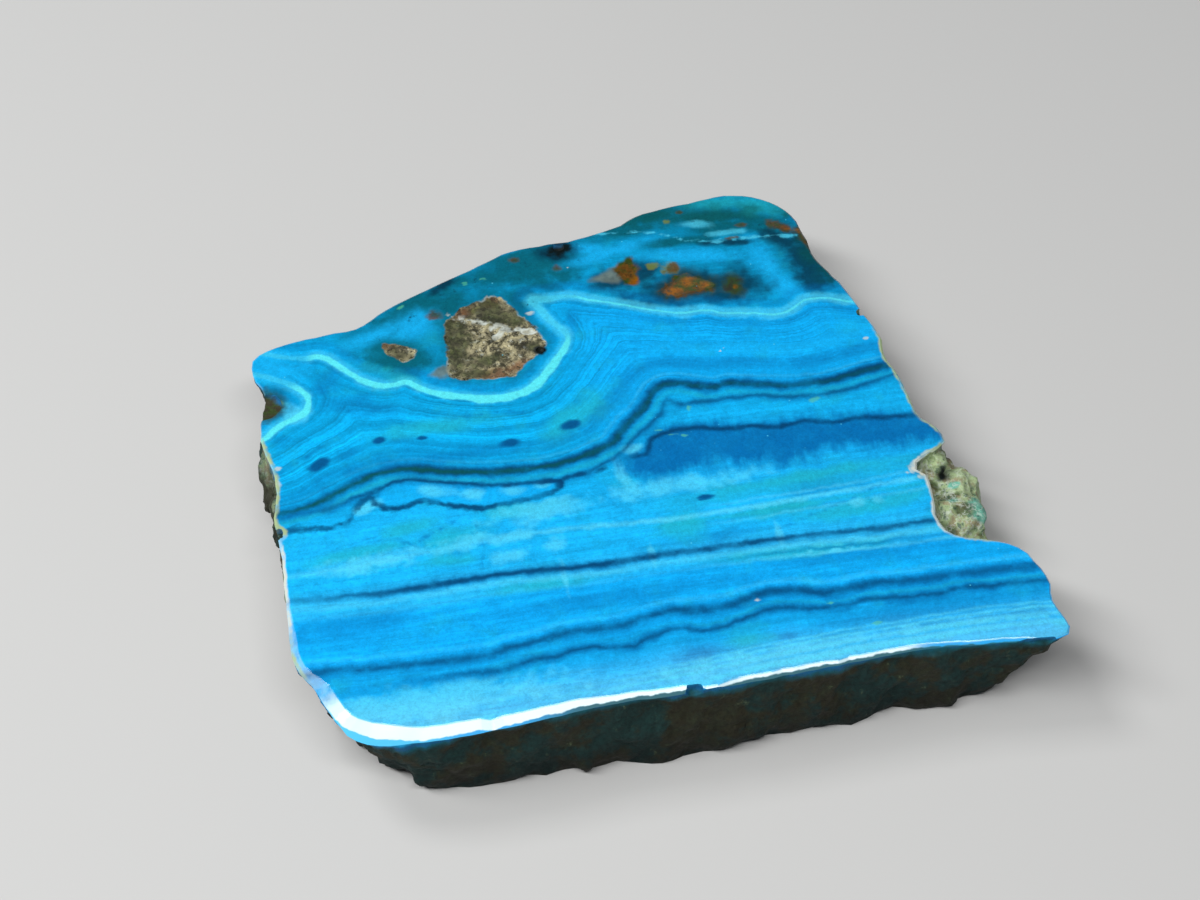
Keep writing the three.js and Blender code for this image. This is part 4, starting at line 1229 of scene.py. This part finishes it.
def facing(location, target, along=(1.0, 0.0, 0.0)):
    """Placement at a location, looking at the target, with the long side along a direction"""
    back = (location - target).normalized()
    side = (Vector(along) - back * back.dot(Vector(along))).normalized()
    return Matrix.Translation(location) @ Matrix((side, back.cross(side), back)).transposed().to_4x4()


def add_floor(shade):
    """Plain matt floor under the slab"""
    bm = bmesh.new()
    bmesh.ops.create_grid(bm, x_segments=1, y_segments=1, size=FLOOR_REACH)
    mesh = bpy.data.meshes.new("floor")
    bm.to_mesh(mesh)
    bm.free()
    floor = add_object("floor", mesh)
    paint = Finish("floor_paint")
    paint.set(paint.shader.inputs["Base Color"], shade)
    paint.shader.inputs["Roughness"].default_value = FLOOR_ROUGHNESS
    floor.data.materials.append(paint.material)


def add_lights(surroundings):
    """Faint light from all sides and the three area lights"""
    world = bpy.data.worlds.new("studio")
    world.use_nodes = True
    background = world.node_tree.nodes["Background"]
    background.inputs["Color"].default_value = (*surroundings, 1.0)
    background.inputs["Strength"].default_value = SURROUNDING_LIGHT
    bpy.context.scene.world = world
    for name, lamp in LIGHTS.items():
        light = bpy.data.lights.new(name, "AREA")
        light.shape = "RECTANGLE"
        light.size, light.size_y = (side * MM for side in lamp["size"])
        light.energy = lamp["power"]
        place = TARGET + Vector(lamp["toward"]).normalized() * lamp["away"] * MM
        add_object(name, light).matrix_world = facing(place, TARGET, lamp["along"])


def add_camera(stage):
    """The camera, level from side to side"""
    camera = bpy.data.cameras.new("camera")
    camera.lens = stage.lens
    camera.clip_start = 5 * MM
    level = cos(stage.elevation)
    back = Vector((sin(stage.azimuth) * level, -cos(stage.azimuth) * level, sin(stage.elevation)))
    viewer = add_object("camera", camera)
    viewer.matrix_world = facing(TARGET + back * stage.distance, TARGET, Vector((0.0, 0.0, 1.0)).cross(back))
    bpy.context.scene.camera = viewer


class SPECIMEN_OT_stage(bpy.types.Operator):
    """Set the stage: a plain pale floor, soft studio light and the camera"""

    bl_idname = "specimen.stage"
    bl_label = "Set the stage"

    def execute(self, context):
        stage = context.scene.specimen.stage
        add_floor(tuple(stage.floor))
        add_lights(stage.surroundings)
        add_camera(stage)
        context.scene.view_settings.view_transform = "Standard"
        return {"FINISHED"}


class SPECIMEN_PT_panel(bpy.types.Panel):
    """Lists the steps and settings of the specimen"""

    bl_label = "Specimen"
    bl_space_type = "VIEW_3D"
    bl_region_type = "UI"
    bl_category = "Specimen"

    def draw(self, context):
        settings = context.scene.specimen
        for operator in (SPECIMEN_OT_slab, SPECIMEN_OT_stage):
            self.layout.operator(operator.bl_idname)
        for group in (settings.shape, settings.bands, settings.rock, settings.stage):
            column = self.layout.box().column()
            for name in group.__annotations__:
                column.prop(group, name)


CLASSES = (
    SlabShape, BandColours, RockColours, StageSettings, SpecimenSettings, SPECIMEN_OT_slab, SPECIMEN_OT_stage,
    SPECIMEN_PT_panel,
)


def register():
    for item in CLASSES:
        bpy.utils.register_class(item)
    bpy.types.Scene.specimen = PointerProperty(type=SpecimenSettings)


def unregister():
    del bpy.types.Scene.specimen
    for item in reversed(CLASSES):
        bpy.utils.unregister_class(item)


def main():
    register()
    bpy.ops.specimen.slab()
    bpy.ops.specimen.stage()


if __name__ == "__main__":
    main()
